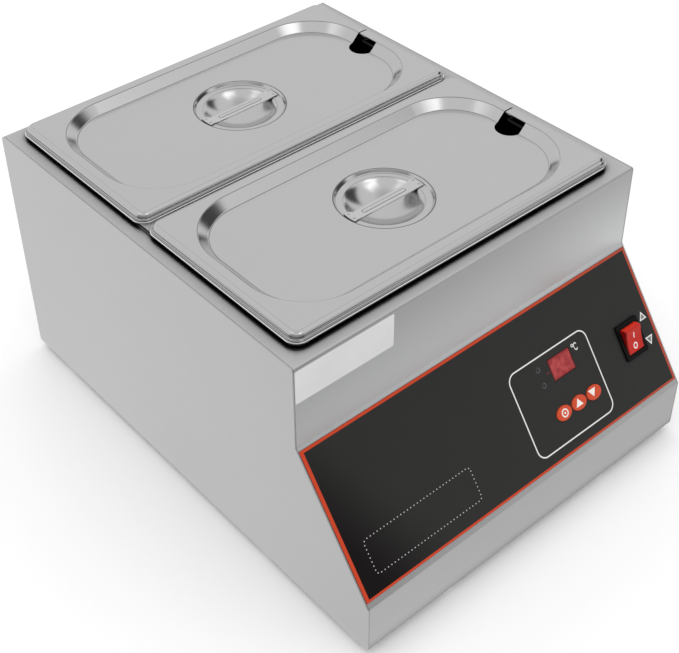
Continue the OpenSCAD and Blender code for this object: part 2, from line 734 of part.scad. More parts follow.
module tact_switches() color("dimgray") for (k = [-1:1])
    panel_frame(key_x + k * key_pitch, key_down_slope) translate([0, 0, board_top]) {
        plunger = -sheet_t - fit - key_lip_t - key_stem_l - key_travel - tact_gap - board_top;
        linear_extrude(tact_h) square(tact_w, center = true);
        cylinder(d = tact_plunger_d, h = plunger);
    }

module board_standoffs() color("goldenrod") panel_frame(board_x, board_down)
    board_corners(board_w, board_l, board_hole_in) difference() {
        translate([0, 0, board_top]) cylinder(d = standoff_d, h = board_gap);
        translate([0, 0, board_top - cut]) cylinder(d = board_hole_d, h = board_gap - cut);
    }

board_screw_l = 8;
board_head_d = 5.5;
board_head_h = 1.8;

module board_screws() color("gray") panel_frame(board_x, board_down)
    board_corners(board_w, board_l, board_hole_in) translate([0, 0, board_top - board_t])
        mirror([0, 0, 1]) screw(board_screw_d, board_screw_l, board_head_d, board_head_h);

// Rocker switch

rocker_reach = 4.6;           // from the pivot to the crests of the rocker
rocker_half = 10.4;         // from the middle of the rocker to a crest
rocker_pivot = 0.5;         // pivot above the panel surface
rocker_w = 18.5;
rocker_dish = 1;            // hollow of the rocker face
rocker_deep = 5;            // rocker below its pivot
rocker_r = norm([rocker_half, rocker_reach]);
switch_d = 22;
switch_floor = 2;
pivot_d = 3;
pivot_l = 1.2;

module rocker_profile() {
    dish_r = (rocker_half * rocker_half + rocker_dish * rocker_dish) / (2 * rocker_dish);
    difference() {
        circle(rocker_r);
        translate([-rocker_r - cut, rocker_reach]) square([2 * (rocker_r + cut), rocker_r]);
        translate([-rocker_r - cut, -rocker_r - rocker_deep]) square([2 * (rocker_r + cut), rocker_r]);
        translate([0, rocker_reach + dish_r - rocker_dish]) circle(dish_r, $fn = 96);
    }
}

// The side view lies in the panel's own up and out directions
module rocker_actuator() color("red") panel_frame(rocker_x, rocker_down)
    translate([0, 0, overlay_t + rocker_pivot]) rotate([rocker_tilt, 0, 0]) rotate([quarter, 0, quarter]) {
        translate([0, 0, -rocker_w / 2]) linear_extrude(rocker_w) rocker_profile();
        translate([0, 0, -rocker_w / 2 - pivot_l]) cylinder(d = pivot_d, h = rocker_w + 2 * pivot_l);
    }

module rocker_housing() color("#222222") panel_frame(rocker_x, rocker_down)
    translate([0, 0, overlay_t]) difference() {
        union() {
            linear_extrude(bezel_t) rounded(bezel_w, bezel_h, bezel_t / 2);
            translate([0, 0, -switch_d]) linear_extrude(switch_d + cut / 2)
                square([switch_w, switch_h], center = true);
        }
        translate([0, 0, switch_floor - switch_d]) linear_extrude(switch_d + bezel_t)
            square([rocker_w + 2 * fit, 2 * rocker_r + 2 * fit], center = true);
        translate([0, 0, rocker_pivot]) rotate([0, quarter, 0])
            cylinder(d = pivot_d + fit, h = rocker_w + 2 * pivot_l + 2 * fit, center = true);
    }

terminal_pitch = 12;
terminal_row = 7;

module switch_terminals() color("gold") panel_frame(rocker_x, rocker_down)
    for (x = [-1, 1], y = [-1, 1])
        translate([x * terminal_row / 2 - blade_t / 2, y * terminal_pitch / 2 - blade_w / 2,
            overlay_t - switch_d - blade_l]) cube([blade_t, blade_w, blade_l]);

// Power electronics on the base plate

power_x = body_w / 2 - 105;
power_y = 40;
power_w = 120;
power_l = 90;
power_rise = 8;
power_hole_in = 5;
relay_size = [19, 15.5, 15];
coil_size = [42, 34, 28];
core_size = [30, 46, 20];
plug_size = [22, 9, 11];
block_size = [64, 22, 18];
block_x = body_w / 2 - 135;
block_y = top_d - 78;
block_ways = 5;
earth_x = body_w / 2 - 95;
earth_y = top_d - 38;
earth_l = 16;

module at_power_board() translate([power_x, power_y, 0]) board_corners(power_w, power_l, power_hole_in)
    children();

module power_board() color(board_tone) housing_frame() translate([0, 0, power_rise]) difference() {
    translate([power_x, power_y, 0]) linear_extrude(board_t) square([power_w, power_l], center = true);
    at_power_board() translate([0, 0, -cut]) cylinder(d = board_hole_d, h = board_t + 2 * cut);
}

module power_standoffs() color("goldenrod") housing_frame() at_power_board() {
    difference() {
        cylinder(d = standoff_d, h = power_rise);
        translate([0, 0, -cut]) cylinder(d = board_hole_d, h = power_rise + 2 * cut);
    }
    translate([0, 0, power_rise + board_t])
        screw(board_screw_d, power_rise + board_t + base_t, board_head_d, board_head_h);
}

module on_power_board(x, y) housing_frame()
    translate([power_x + x, power_y + y, power_rise + board_t]) children();

module relays() color("royalblue") for (x = [0, 1])
    on_power_board(power_w / 4, -power_l / 4 + x * 1.5 * relay_size.y)
        linear_extrude(relay_size.z) square([relay_size.x, relay_size.y], center = true);

module transformer() on_power_board(-power_w / 5, 0) {
    color("darkslategray") linear_extrude(core_size.z) square([core_size.x, core_size.y], center = true);
    color("peru") linear_extrude(coil_size.z) square([coil_size.x, coil_size.y], center = true);
}

module board_connectors() color("ivory") {
    on_power_board(power_w / 4, power_l / 2 - plug_size.y) linear_extrude(plug_size.z)
        square([plug_size.x, plug_size.y], center = true);
    on_power_board(-power_w / 5, -power_l / 2 + plug_size.y) linear_extrude(plug_size.z)
        square([plug_size.x, plug_size.y], center = true);
    panel_frame(board_x, board_down) translate([0, board_l / 4, board_top - board_t - plug_size.z])
        linear_extrude(plug_size.z) square([plug_size.x, plug_size.y], center = true);
}

module terminal_block() color("ivory") housing_frame() translate([block_x, block_y, 0]) {
    way = block_size.x / block_ways;
    difference() {
        translate([-block_size.x / 2, -block_size.y / 2, 0]) cube(block_size);
        for (k = [0:block_ways - 1]) translate([(k - (block_ways - 1) / 2) * way, 0, 0]) {
            for (y = [-1, 1]) translate([0, y * block_size.y / 4, block_size.z / 2])
                cylinder(d = screw_d, h = block_size.z);
            for (y = [-1, 1]) translate([0, y * block_size.y / 2, block_size.z / 3])
                rotate([y * quarter, 0, 0]) cylinder(d = lead_d + fit, h = 2 * cut, center = true);
        }
    }
}

gland_hex = 19;
gland_hex_h = 5;
gland_dome_h = gland_reach - gland_hex_h;
gland_bore = 9;
gland_thread_l = 12;
gland_wall = 2;

module at_gland() housing_frame() translate([gland_x, top_d, gland_z]) rotate([-quarter, 0, 0]) children();

module cable_gland() color("#2b2b2b") at_gland() difference() {
    union() {
        cylinder(d = gland_hex / cos(30), h = gland_hex_h, $fn = 6);
        translate([0, 0, gland_hex_h])
            cylinder(d1 = gland_hex, d2 = gland_bore + 2 * gland_wall, h = gland_dome_h);
        translate([0, 0, -gland_thread_l]) cylinder(d = gland_d - fit, h = gland_thread_l + cut / 2);
    }
    translate([0, 0, -gland_thread_l - cut])
        cylinder(d = gland_bore, h = gland_thread_l + gland_reach + 2 * cut);
}

module gland_locknut() color("#2b2b2b") at_gland()
    translate([0, 0, -sheet_t - gland_hex_h]) hex_nut(gland_hex, gland_hex_h, gland_d - fit);

module earth_stud() color("gold") housing_frame() translate([earth_x, earth_y, -base_t]) {
    cylinder(d = stud_d, h = earth_l);
    for (k = [0, 1]) translate([0, 0, base_t + k * stud_nut_h]) hex_nut(stud_nut, stud_nut_h, stud_d);
}

// Wiring, from piece to piece

lead_d = 3;
thin_d = 1.6;
loom_z = 48;                // height at which the leads cross the housing
loom_step = 5;

function way_x(k) = block_x + (k - (block_ways - 1) / 2) * block_size.x / block_ways;
function panel_point(x, down, out) = [x, -down * cos(slope_angle) - out * sin(slope_angle),
    slope_top - down * sin(slope_angle) + out * cos(slope_angle)];
function rise(p, z) = [p.x, p.y, z];
function pan_y(k) = front_margin + pan_w / 2 + k * pan_pitch;
function plug_point(x, y) = [power_x + x, power_y + y, power_rise + board_t + plug_size.z];

function switch_blade(k, row) = panel_point(rocker_x + (2 * k - 1) * terminal_row / 2,
    rocker_down + row * terminal_pitch / 2, blade_end);

rear_plug = [power_w / 4, power_l / 2 - plug_size.y];
front_plug = [-power_w / 5, plug_size.y - power_l / 2];
blade_end = overlay_t - switch_d - blade_l - lead_d / 2 * sin(slope_angle);
cutout_low = body_h + clamp_base - cutout_h - blade_l;

// From the mains ways of the terminal block to the switch
module mains_wiring() color("saddlebrown") housing_frame() for (k = [0, 1]) {
    front = block_y - block_size.y / 2;
    z = loom_z - k * loom_step;
    top_end = switch_blade(k, -1);
    lead([[way_x(k + 3), front + cut, block_size.z / 3], [way_x(k + 3), front - loom_step, block_size.z / 3],
        [way_x(k + 3), front - loom_step, z], [top_end.x, front - loom_step, z],
        rise(top_end, z), top_end], lead_d);
}

// From the switch to the power board
module switch_wiring() color("black") housing_frame() for (k = [0, 1]) {
    plug = plug_point(rear_plug.x + (k + 0.7) * loom_step, rear_plug.y);
    z = loom_z / 2 + (1 - k) * loom_step;
    low_end = switch_blade(k, 1);
    lead([low_end, rise(low_end, z), [low_end.x, plug.y, z], rise(plug, z), plug], lead_d);
}

// From the cutouts under the heaters to the terminal block and to the power board
module heater_wiring() color("white") housing_frame() for (k = [0, 1]) {
    block_front = block_y - block_size.y / 2;
    z = loom_z + (k + 1) * loom_step;
    near = [-cutout_d / 4, pan_y(k), cutout_low];
    far = [cutout_d / 4, pan_y(k), cutout_low];
    turn_y = block_front - (k + 2) * loom_step;
    plug = plug_point(rear_plug.x - (k + 0.7) * loom_step, rear_plug.y);
    lead([near, rise(near, z), [way_x(k), near.y, z], [way_x(k), turn_y, z],
        [way_x(k), turn_y, block_size.z / 3], [way_x(k), block_front + cut, block_size.z / 3]], lead_d);
    lead([far, rise(far, z + 3 * loom_step), [plug.x, far.y, z + 3 * loom_step],
        [plug.x, plug.y, z + 3 * loom_step], plug], lead_d);
}

// Ribbon between the boards, and the lead of the temperature probe
module panel_wiring() color("red") housing_frame() {
    for (k = [0:3]) {
        shift = (k - 1.5) * (thin_d + fit);
        start = panel_point(board_x + shift, board_down - board_l / 4,
            board_top - board_t - plug_size.z - thin_d / 2);
        goal = plug_point(front_plug.x + shift, front_plug.y);
        lead([start, [start.x, goal.y, start.z - 3 * loom_step],
            [goal.x, goal.y, goal.z + loom_step], goal], thin_d);
    }
    probe = [probe_x - (probe_l + thin_d) / 2, pan_y(0) + probe_y, body_h + clamp_base - probe_d / 2];
    goal = plug_point(front_plug.x - 2.5 * (thin_d + fit), front_plug.y);
    x = cutout_ear_l / 2 + loom_step;
    turn_y = probe.y - 2 * loom_step;
    lead([probe, [x, turn_y, probe.z], [x, turn_y, loom_z - loom_step],
        [goal.x, goal.y, loom_z - loom_step], goal], thin_d);
}

body_wrap();
side_panel_left();
side_panel_right();
rear_panel();
base_plate();
rear_panel_screws();
base_screws();
rubber_feet();
foot_screws();
heating_well_front();
heating_well_rear();
heater_mat_front();
heater_mat_rear();
heater_clamp_front();
heater_clamp_rear();
clamp_studs();
insulation_front();
insulation_rear();
temperature_probe();
thermal_cutouts();
pan_front();
pan_rear();
lid_front();
lid_rear();
lid_handle_front();
lid_handle_rear();
control_overlay();
display_window();
key_set();
key_up();
key_down();
indicator_lenses();
display_board();
display_module();
tact_switches();
board_standoffs();
board_screws();
rocker_housing();
rocker_actuator();
switch_terminals();
power_board();
power_standoffs();
relays();
transformer();
board_connectors();
terminal_block();
cable_gland();
gland_locknut();
earth_stud();
mains_wiring();
switch_wiring();
heater_wiring();
panel_wiring();
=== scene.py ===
import json
import math
from functools import reduce
from math import cos, radians, sin

import bmesh
import bpy
from mathutils import Euler, Matrix, Vector


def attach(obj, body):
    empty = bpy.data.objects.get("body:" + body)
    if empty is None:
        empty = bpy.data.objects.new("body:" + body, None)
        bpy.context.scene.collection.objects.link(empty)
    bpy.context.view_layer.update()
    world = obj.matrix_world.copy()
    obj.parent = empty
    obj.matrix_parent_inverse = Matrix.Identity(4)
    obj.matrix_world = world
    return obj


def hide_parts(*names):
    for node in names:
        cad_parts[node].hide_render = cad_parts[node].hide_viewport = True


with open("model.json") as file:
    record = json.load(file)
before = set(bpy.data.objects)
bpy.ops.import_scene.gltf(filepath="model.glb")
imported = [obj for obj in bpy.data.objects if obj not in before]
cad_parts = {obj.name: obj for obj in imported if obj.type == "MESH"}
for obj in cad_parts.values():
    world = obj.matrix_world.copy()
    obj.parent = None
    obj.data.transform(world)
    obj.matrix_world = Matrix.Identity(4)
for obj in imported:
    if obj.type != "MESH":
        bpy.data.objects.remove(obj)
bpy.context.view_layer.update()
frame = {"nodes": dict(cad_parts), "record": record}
nodes = frame["nodes"]
mm = 0.001
inMm = 1000.0  # shader positions come in metres
print("frame loaded")

# Where things are in the CAD, in millimetres
place = {
    "plate": 234,  # height of the top plate
    "halfWidth": 175,
    "panMiddles": {"front": -62, "rear": 118},
    "slopeTop": Vector((0, -162, 160)),
    "slopeRun": 76,
    "slopeDrop": 105,
}
slope = math.atan2(place["slopeDrop"], place["slopeRun"])
slopeDown = Vector((0, -cos(slope), -sin(slope)))
slopeOut = Vector((0, -sin(slope), cos(slope)))


def onPanel(x, down):
    # a point of the control panel, in millimetres of the row frame
    return place["slopeTop"] + Vector((x, 0, 0)) + slopeDown * down


# Outline that pans and lids share
ware = {"halfLong": 162.5, "halfWide": 88, "rimRadius": 11}

# Camera: the photograph's own viewpoint and framing
camera = {
    "location": (-0.568534, -0.663419, 0.833768),
    "turn": (0.903994, 0.021996, -0.701429),
    "lens": 70.3865,
    "sensor": 36,
    "shift": (0.04812, -0.109167),
    "reach": 20,
}
scene = bpy.context.scene
view = bpy.data.cameras.new("photoView")
view.lens = camera["lens"]
view.sensor_width = camera["sensor"]
view.shift_x, view.shift_y = camera["shift"]
view.clip_end = camera["reach"]
viewer = bpy.data.objects.new("photoView", view)
viewer.location = camera["location"]
viewer.rotation_euler = Euler(camera["turn"])
scene.collection.objects.link(viewer)
scene.camera = viewer


# Shader maths as plain expressions
def operator(name, swapped=False):
    def apply(self, other):
        return self.maths(name, other, self) if swapped else self.maths(name, self, other)
    return apply


class Wire:
    def __init__(self, paint, socket):
        self.paint = paint
        self.socket = socket

    def maths(self, operation, *values):
        return self.paint.add("ShaderNodeMath", {"operation": operation}, list(values))

    __add__, __radd__ = operator("ADD"), operator("ADD", True)
    __sub__, __rsub__ = operator("SUBTRACT"), operator("SUBTRACT", True)
    __mul__, __rmul__ = operator("MULTIPLY"), operator("MULTIPLY", True)
    __truediv__, __pow__ = operator("DIVIDE"), operator("POWER")
    __gt__, __lt__ = operator("GREATER_THAN"), operator("LESS_THAN")
    over, under = operator("MAXIMUM"), operator("MINIMUM")

    def __abs__(self):
        return self.maths("ABSOLUTE", self)

    def root(self):
        return self.maths("SQRT", self)

    def wave(self, turns):
        return self.maths("SINE", self * turns)

    def output(self, key):
        return Wire(self.paint, self.socket.node.outputs[key])

    def wrapped(self, size):
        return self.maths("WRAP", self, size / 2, -size / 2)

    def clamped(self):
        return self.paint.add("ShaderNodeClamp", {}, [self, 0.0, 1.0])


class Paint:
    def __init__(self, tree, shader=None, material=None):
        self.tree = tree
        self.shader = shader
        self.material = material

    def add(self, kind, settings=None, values=None, out=0):
        node = self.tree.nodes.new(kind)
        for key, value in (settings or {}).items():
            setattr(node, key, value)
        values = values or {}
        for key, value in values.items() if isinstance(values, dict) else enumerate(values):
            if isinstance(value, Wire):
                self.tree.links.new(value.socket, node.inputs[key])
            else:
                node.inputs[key].default_value = value
        return Wire(self, node.outputs[out])

    def feed(self, key, wire):
        self.tree.links.new(wire.socket, self.shader.inputs[key])

    def spot(self):
        return self.add("ShaderNodeTexCoord", out=3)

    def axes(self, vector=None):
        parts = self.add("ShaderNodeSeparateXYZ", values=[vector or self.spot()])
        return [parts.output(k) for k in range(3)]

    def noise(self, scale, detail=3.0, rough=0.5, stretch=(1, 1, 1)):
        source = self.add("ShaderNodeMapping", values={"Vector": self.spot(), "Scale": stretch})
        return self.add("ShaderNodeTexNoise", values={
            "Vector": source, "Scale": scale, "Detail": detail, "Roughness": rough})

    def ranged(self, value, start, end, low=0.0, high=1.0, smooth=False):
        # value from start to end gives low to high, held beyond both
        kind = "SMOOTHSTEP" if smooth else "LINEAR"
        return self.add("ShaderNodeMapRange", {"interpolation_type": kind}, {
            "Value": value, "From Min": start, "From Max": end, "To Min": low, "To Max": high})

    def mixed(self, mask, a, b):
        values = {0: mask, 6: a if isinstance(a, Wire) else (*a, 1),
                  7: b if isinstance(b, Wire) else (*b, 1)}
        return self.add("ShaderNodeMix", {"data_type": "RGBA"}, values, out=2)

    def toned(self, wire, tone, low, high, start=0.3, end=0.7):
        # low and high times the tone, where the wire is at start and end
        ramp = self.add("ShaderNodeValToRGB", values=[wire])
        elements = ramp.socket.node.color_ramp.elements
        for element, spot, by in zip(elements, (start, end), (low, high)):
            element.position = spot
            element.color = (*tint(tone, by), 1)
        return ramp

    def finished(self, colour, rough=None, height=None, strength=1.0, distance=1.0):
        # colour, roughness and relief close every material
        self.feed("Base Color", colour)
        if rough:
            self.feed("Roughness", rough)
        if height:
            self.feed("Normal", self.add("ShaderNodeBump", {}, {
                "Strength": strength, "Distance": distance, "Height": height}))
        return self.material

    def openness(self, reach):
        # 1 in the open, falling to 0 where other metal stands close
        return self.add("ShaderNodeAmbientOcclusion", {"samples": 8}, {"Distance": reach}).output("AO")

    def along(self, vector, direction):
        return self.add("ShaderNodeVectorMath", {"operation": "DOT_PRODUCT"},
                        {0: vector, 1: direction}, out=1)


def paintFor(name, **fixed):
    material = bpy.data.materials.new(name)
    material.use_nodes = True
    shader = material.node_tree.nodes["Principled BSDF"]
    for key, value in fixed.items():
        shader.inputs[key.replace("_", " ")].default_value = value
    return Paint(material.node_tree, shader, material)


def tint(tone, by):
    return tuple(min(1.0, c * by) for c in tone)


def grey(tone):
    return (tone, tone, tone)


black, white = grey(0), grey(1)


def diagonal(a, b):
    return (a * a + b * b).root()


# Finishes
# Painted shade in the gaps between sheets, from ambient occlusion: reach in metres, then
# the openness that is fully dark and the one that is clear
crevices = {
    "sheet": {"reach": 0.012, "dark": 0.3, "clear": 0.8, "power": 1.6},
    "plate": {"reach": 0.02, "dark": 0.45, "clear": 0.92, "power": 1.3},
    "ware": {"reach": 0.004, "dark": 0.3, "clear": 0.7, "power": 1.2},
    "pan": {"reach": 0.02, "dark": 0.72, "clear": 1.0, "power": 1.6},
}
# Noise scales of rolled sheet, the tones it spans, the gain of the painted shade,
# the tone of the painted highlight and the gains of the painted light
satin = {"streaks": 260, "thin": 1400, "clouds": 9, "low": 0.8, "high": 1.2, "paintedShade": 0.02,
         "edge": grey(0.97), "litGains": (1.44, 1.46, 1.47)}
alongX, alongY, alongZ = (0.03, 1, 1), (1, 0.03, 1), (1, 1, 0.03)


def steel(name, tone, rough, grain=alongX, streak=0.03, cloud=0.03, fine=0.04, gap="sheet",
          lines=None, polish=None, bright=None, lift=None):
    # satin sheet: long fine streaks along the grain, and soft clouds of wiping and rolling
    p = paintFor(name, Metallic=1.0)
    streaks = p.noise(satin["streaks"], stretch=grain, detail=4.0, rough=0.6)
    thin = p.noise(satin["thin"], stretch=grain, detail=2.0)
    clouds = p.noise(satin["clouds"], detail=2.0)
    level = (streaks - 0.5) * streak + (clouds - 0.5) * cloud + (thin - 0.5) * streak + 0.5
    sheet = p.toned(level, tone, satin["low"], satin["high"], 0.4, 0.6)
    s = crevices[gap]
    # painted shade: the colour darkens where other metal stands close
    unshaded = ((p.openness(s["reach"]) - s["dark"]) / (s["clear"] - s["dark"])).clamped() ** s["power"]
    if bright:
        # painted highlight on rolled edges, clear of the painted shade
        edge = bright(p)
        unshaded = unshaded.over(edge)
        sheet = p.mixed(edge, sheet, satin["edge"])
    # thin dark lines: painted shade, and dark joints and welds
    if lines:
        unshaded = unshaded * (1 - lines(p))
    # painted light: a paler sheet where the lift mask is up
    if lift:
        sheet = p.mixed(lift(p), sheet, tuple(c * gain for c, gain in zip(tone, satin["litGains"])))
    if polish:
        rough = polish(p)
    return p.finished(p.mixed(unshaded, tint(tone, satin["paintedShade"]), sheet),
                      (streaks - 0.5) * fine + (clouds - 0.5) * fine + rough, streaks + thin, 0.04, 0.0001)


def plainMetal(name, tone, rough):
    p = paintFor(name, Metallic=1.0)
    spots = p.noise(420, detail=4.0)
    return p.finished(p.toned(spots, tone, 0.86, 1.12), spots * 0.16 + (rough - 0.08), spots, 0.06, 0.0002)


def moulded(name, tone, rough, grain=2600, depth=0.05, gloss=0.5):
    p = paintFor(name, IOR=1.49, Specular_IOR_Level=gloss)
    sand = p.noise(grain, detail=2.0)
    dust = p.noise(35, detail=3.0)
    return p.finished(p.toned(sand * 0.35 + dust * 0.65, tone, 0.85, 1.18, 0.35, 0.65),
                      dust * 0.1 + (rough - 0.05), sand, depth, 0.0002)


def boardGreen(name):
    # solder mask with copper runs and pads showing through
    p = paintFor(name, IOR=1.5)
    tracks = p.add("ShaderNodeTexBrick", {"offset": 0.5}, {
        "Vector": p.spot(), "Scale": 90.0, "Mortar Size": 0.05})
    lines = tracks.output(1)
    pads = p.add("ShaderNodeTexVoronoi", {}, {"Vector": p.spot(), "Scale": 160.0}) < 0.16
    ground = p.mixed(lines, (0.012, 0.13, 0.045), (0.03, 0.24, 0.08))
    return p.finished(p.mixed(pads, ground, (0.62, 0.6, 0.5)), pads * 0.15 + 0.3, lines + pads, 0.2, 0.0001)


def fibreBoard(name, tone):
    p = paintFor(name, Roughness=0.95)
    fibres = p.noise(300, stretch=(1, 1, 6), detail=6.0, rough=0.7)
    tufts = p.noise(60, detail=4.0)
    return p.finished(p.toned(fibres * 0.6 + tufts * 0.4, tone, 0.6, 1.15), None, fibres + tufts, 0.5, 0.001)


# Radians per metre of glass cloth, stacked sheets and braid
threads = {"cloth": 4200.0, "stack": 9000.0, "braid": 3600.0}


def siliconeMat(name, tone):
    # glass cloth showing through the silicone
    p = paintFor(name, Roughness=0.6)
    x, y, z = p.axes()
    weave = x.wave(threads["cloth"]) * y.wave(threads["cloth"])
    return p.finished(p.toned(weave * 0.5 + 0.5, tone, 0.75, 1, 0.2, 0.8), None, weave, 0.2, 0.0002)


def laminations(name, tone):
    p = paintFor(name, Metallic=0.6, Roughness=0.5)
    sheets = p.axes()[2].wave(threads["stack"])
    grime = p.noise(80, detail=4.0)
    return p.finished(p.toned(sheets * 0.2 + grime, tone, 0.5, 1.5, 0.2, 0.8), None, sheets, 0.3, 0.0002)


def leadSkin(name, tone, band=0.0):
    p = paintFor(name, Roughness=0.5)
    x, y, z = p.axes()
    braid = (x + y).wave(threads["braid"]) * z.wave(threads["braid"])
    spots = p.noise(200)
    return p.finished(p.toned(spots + braid * band, tone, 0.8, 1.2), None, braid + spots, 0.1 + band, 0.0001)


# Prints on the control panel, in millimetres: u from the left edge, v down the slope
def fromSlopeTop(p, direction):
    # height over the top of the slope along a direction
    return (p.along(p.spot(), direction) - direction.dot(place["slopeTop"] * mm)) * inMm


def panelAxes(p):
    return p.axes()[0] * inMm + place["halfWidth"], fromSlopeTop(p, slopeDown)


def roundedDistance(u, v, middle, half, radius):
    a = (abs(u - middle[0]) - (half[0] - radius)).over(0.0)
    b = (abs(v - middle[1]) - (half[1] - radius)).over(0.0)
    return diagonal(a, b) - radius


def inked(distance, blur=0.25):
    return (0.5 - distance / blur).clamped()


def outlined(distance, width, blur=0.25):
    return inked(abs(distance) - width / 2, blur)


def triangleDistance(u, v, tip, base, half):
    # upright or hanging triangle: tip and base are (u, v), half the width of its base
    height = abs(base - tip[1])
    away = (v - tip[1]) * (1.0 if base > tip[1] else -1.0)
    lean = math.hypot(half, height)
    side = (abs(u - tip[0]) * height - away * half) / lean
    return side.over(away - height)


panelPrint = {
    "edge": {"middle": (175.3, 64.3), "half": (170.9, 58.5), "radius": 0.4},
    "frame": {"middle": (232.8, 78.5), "half": (44.0, 36.2), "radius": 8.0, "width": 1.05},
    "degree": {"middle": (259.7, 50.0), "radius": 1.05, "width": 0.65},
    "letter": {"middle": (262.9, 52.0), "narrow": 0.62, "radius": 2.8, "width": 0.95,
               "mouth": 264.0, "flare": 0.2},
    "arrows": [((339.6, 58.7), 65.7, 4.1), ((338.3, 87.8), 80.3, 4.4)],
    "arrowLine": 0.9,
    "lamps": {"middles": [(219.2, 51.4), (219.2, 64.8)], "radius": 1.9, "width": 0.4, "strength": 0.8},
    "dots": {"middle": (72.0, 97.5), "half": (53.4, 13.6), "bare": 2.4, "turn": 0.9, "pitch": 3.3,
             "size": 0.42, "strength": 0.75},
    "dash": {"middle": (227.4, 58.0), "half": (1.7, 0.5), "radius": 0.4, "blur": 0.8},
    "shadow": {"lean": 0.5, "start": -45.0, "end": 30.0},
    "borderShift": (200.0, 345.0),
}
panelTones = {
    "ground": (0.023, 0.023, 0.022),
    "shadow": (0.003, 0.0012, 0.0012),
    "dash": (0.16, 0.02, 0.02),
    "orange": (0.56, 0.050, 0.013),
    "borderRight": (0.42, 0.062, 0.030),
    "white": (0.82, 0.82, 0.80),
    "greyed": grey(0.2),
}


def boxDistance(u, v, s):
    return roundedDistance(u, v, s["middle"], s["half"], s["radius"])


def ringDistance(u, v, s, narrow=1.0):
    return diagonal((u - s["middle"][0]) / narrow, v - s["middle"][1]) - s["radius"]


def dottedFrame(u, v):
    # rows and columns of dots, with one more in each corner
    s = panelPrint["dots"]
    (middleU, middleV), (halfU, halfV) = s["middle"], s["half"]
    alongU, alongV = abs(u - middleU), abs(v - middleV)
    rows = diagonal((u - middleU).wrapped(s["pitch"]), alongV - halfV) - s["size"]
    rows = rows.over(alongU - (halfU - s["bare"]))
    columns = diagonal((v - middleV).wrapped(s["pitch"]), alongU - halfU) - s["size"]
    columns = columns.over(alongV - (halfV - s["bare"]))
    corner = diagonal(alongU - halfU + s["turn"], alongV - halfV + s["turn"]) - s["size"]
    return inked(rows.under(columns).under(corner)) * s["strength"]


def overlayFoil(name):
    s, tones = panelPrint, panelTones
    p = paintFor(name, IOR=1.5, Specular_IOR_Level=0.2)
    u, v = panelAxes(p)
    inside = inked(boxDistance(u, v, s["edge"]), 0.3)
    lines = outlined(boxDistance(u, v, s["frame"]), s["frame"]["width"])
    # the degree sign and its letter: a small ring, and a narrow ring open to the right
    mark = s["letter"]
    opening = inked(mark["mouth"] - u + abs(v - mark["middle"][1]) * mark["flare"], 0.3)
    letter = outlined(ringDistance(u, v, mark, mark["narrow"]), mark["width"]) * (1 - opening)
    degree = outlined(ringDistance(u, v, s["degree"]), s["degree"]["width"])
    arrows = [triangleDistance(u, v, tip, base, half) for tip, base, half in s["arrows"]]
    rims = [outlined(away + s["arrowLine"] / 2, s["arrowLine"]) for away in arrows]
    lines = reduce(Wire.over, [lines, degree, letter, dottedFrame(u, v), *rims])
    lamps = s["lamps"]
    rings = [ringDistance(u, v, {"middle": middle, "radius": lamps["radius"]}) for middle in lamps["middles"]]
    rings = [outlined(ring, lamps["width"]) * lamps["strength"] for ring in rings]
    faint = reduce(Wire.over, [inked(away) for away in arrows] + rings)
    grain = p.noise(2200, detail=2.0)
    smears = p.noise(14, detail=3.0)
    # darker in the lower left corner
    dark = s["shadow"]
    shadow = p.ranged(u - v * dark["lean"], dark["start"], dark["end"], smooth=True)
    ground = p.mixed(smears * 0.2 + shadow - 0.1, tones["shadow"], tones["ground"])
    ground = p.mixed(inked(boxDistance(u, v, s["dash"]), s["dash"]["blur"]), ground, tones["dash"])
    ground = p.mixed(faint, ground, tones["greyed"])
    ground = p.mixed(lines, ground, tones["white"])
    # the border turns duller toward the right
    border = p.mixed(p.ranged(u, *s["borderShift"]), tones["orange"], tones["borderRight"])
    return p.finished(p.mixed(inside, border, ground),
                      smears * 0.08 + 0.3, grain * 0.4 + (1 - inside) * 0.3 + lines * 0.3, 0.08, 0.0001)


# Seven-segment digits: middles, then the bars across and down around each
digits = {"middles": (237.6, 248.9), "row": 58.0, "levels": (-5.6, 0.0, 5.6), "across": (3.1, 0.75),
          "sides": (-3.8, 3.8), "halves": (-2.8, 2.8), "down": (0.75, 2.2), "radius": 0.6,
          "pane": {"middle": (243.1, 58.0), "half": (11.6, 8.3), "radius": 1.0}}
displayTones = {"dim": (0.27, 0.030, 0.034), "bright": (0.42, 0.060, 0.062), "digit": (0.5, 0.1, 0.1),
                "edge": (0.09, 0.012, 0.012), "glow": (0.03, 0.001, 0.001),
                "digitGlow": (0.045, 0.002, 0.002)}


def displayRed(name):
    # unlit digits behind the red window, which gives off a painted red glow
    s, tones = digits, displayTones
    p = paintFor(name, IOR=1.5, Specular_IOR_Level=0.12, Emission_Strength=0.6)
    u, v = panelAxes(p)
    bars = [((middle, s["row"] + level), s["across"]) for middle in s["middles"] for level in s["levels"]]
    bars += [((middle + side, s["row"] + half), s["down"])
             for middle in s["middles"] for side in s["sides"] for half in s["halves"]]
    bars = [roundedDistance(u, v, middle, half, s["radius"]) for middle, half in bars]
    lit = inked(reduce(Wire.under, bars), 1.4)
    edge = inked(boxDistance(u, v, s["pane"]), 1.6)
    haze = p.noise(170, detail=3.0)
    ground = p.mixed(p.toned(haze, white, 0, 1, 0.35, 0.65), tones["dim"], tones["bright"])
    ground = p.mixed(lit * 0.22, ground, tones["digit"])
    # painted glow: faint red light from the window, a little more on the digits
    p.feed("Emission Color", p.mixed(lit, tones["glow"], tones["digitGlow"]))
    return p.finished(p.mixed(edge, tones["edge"], ground), haze * 0.06 + 0.36)


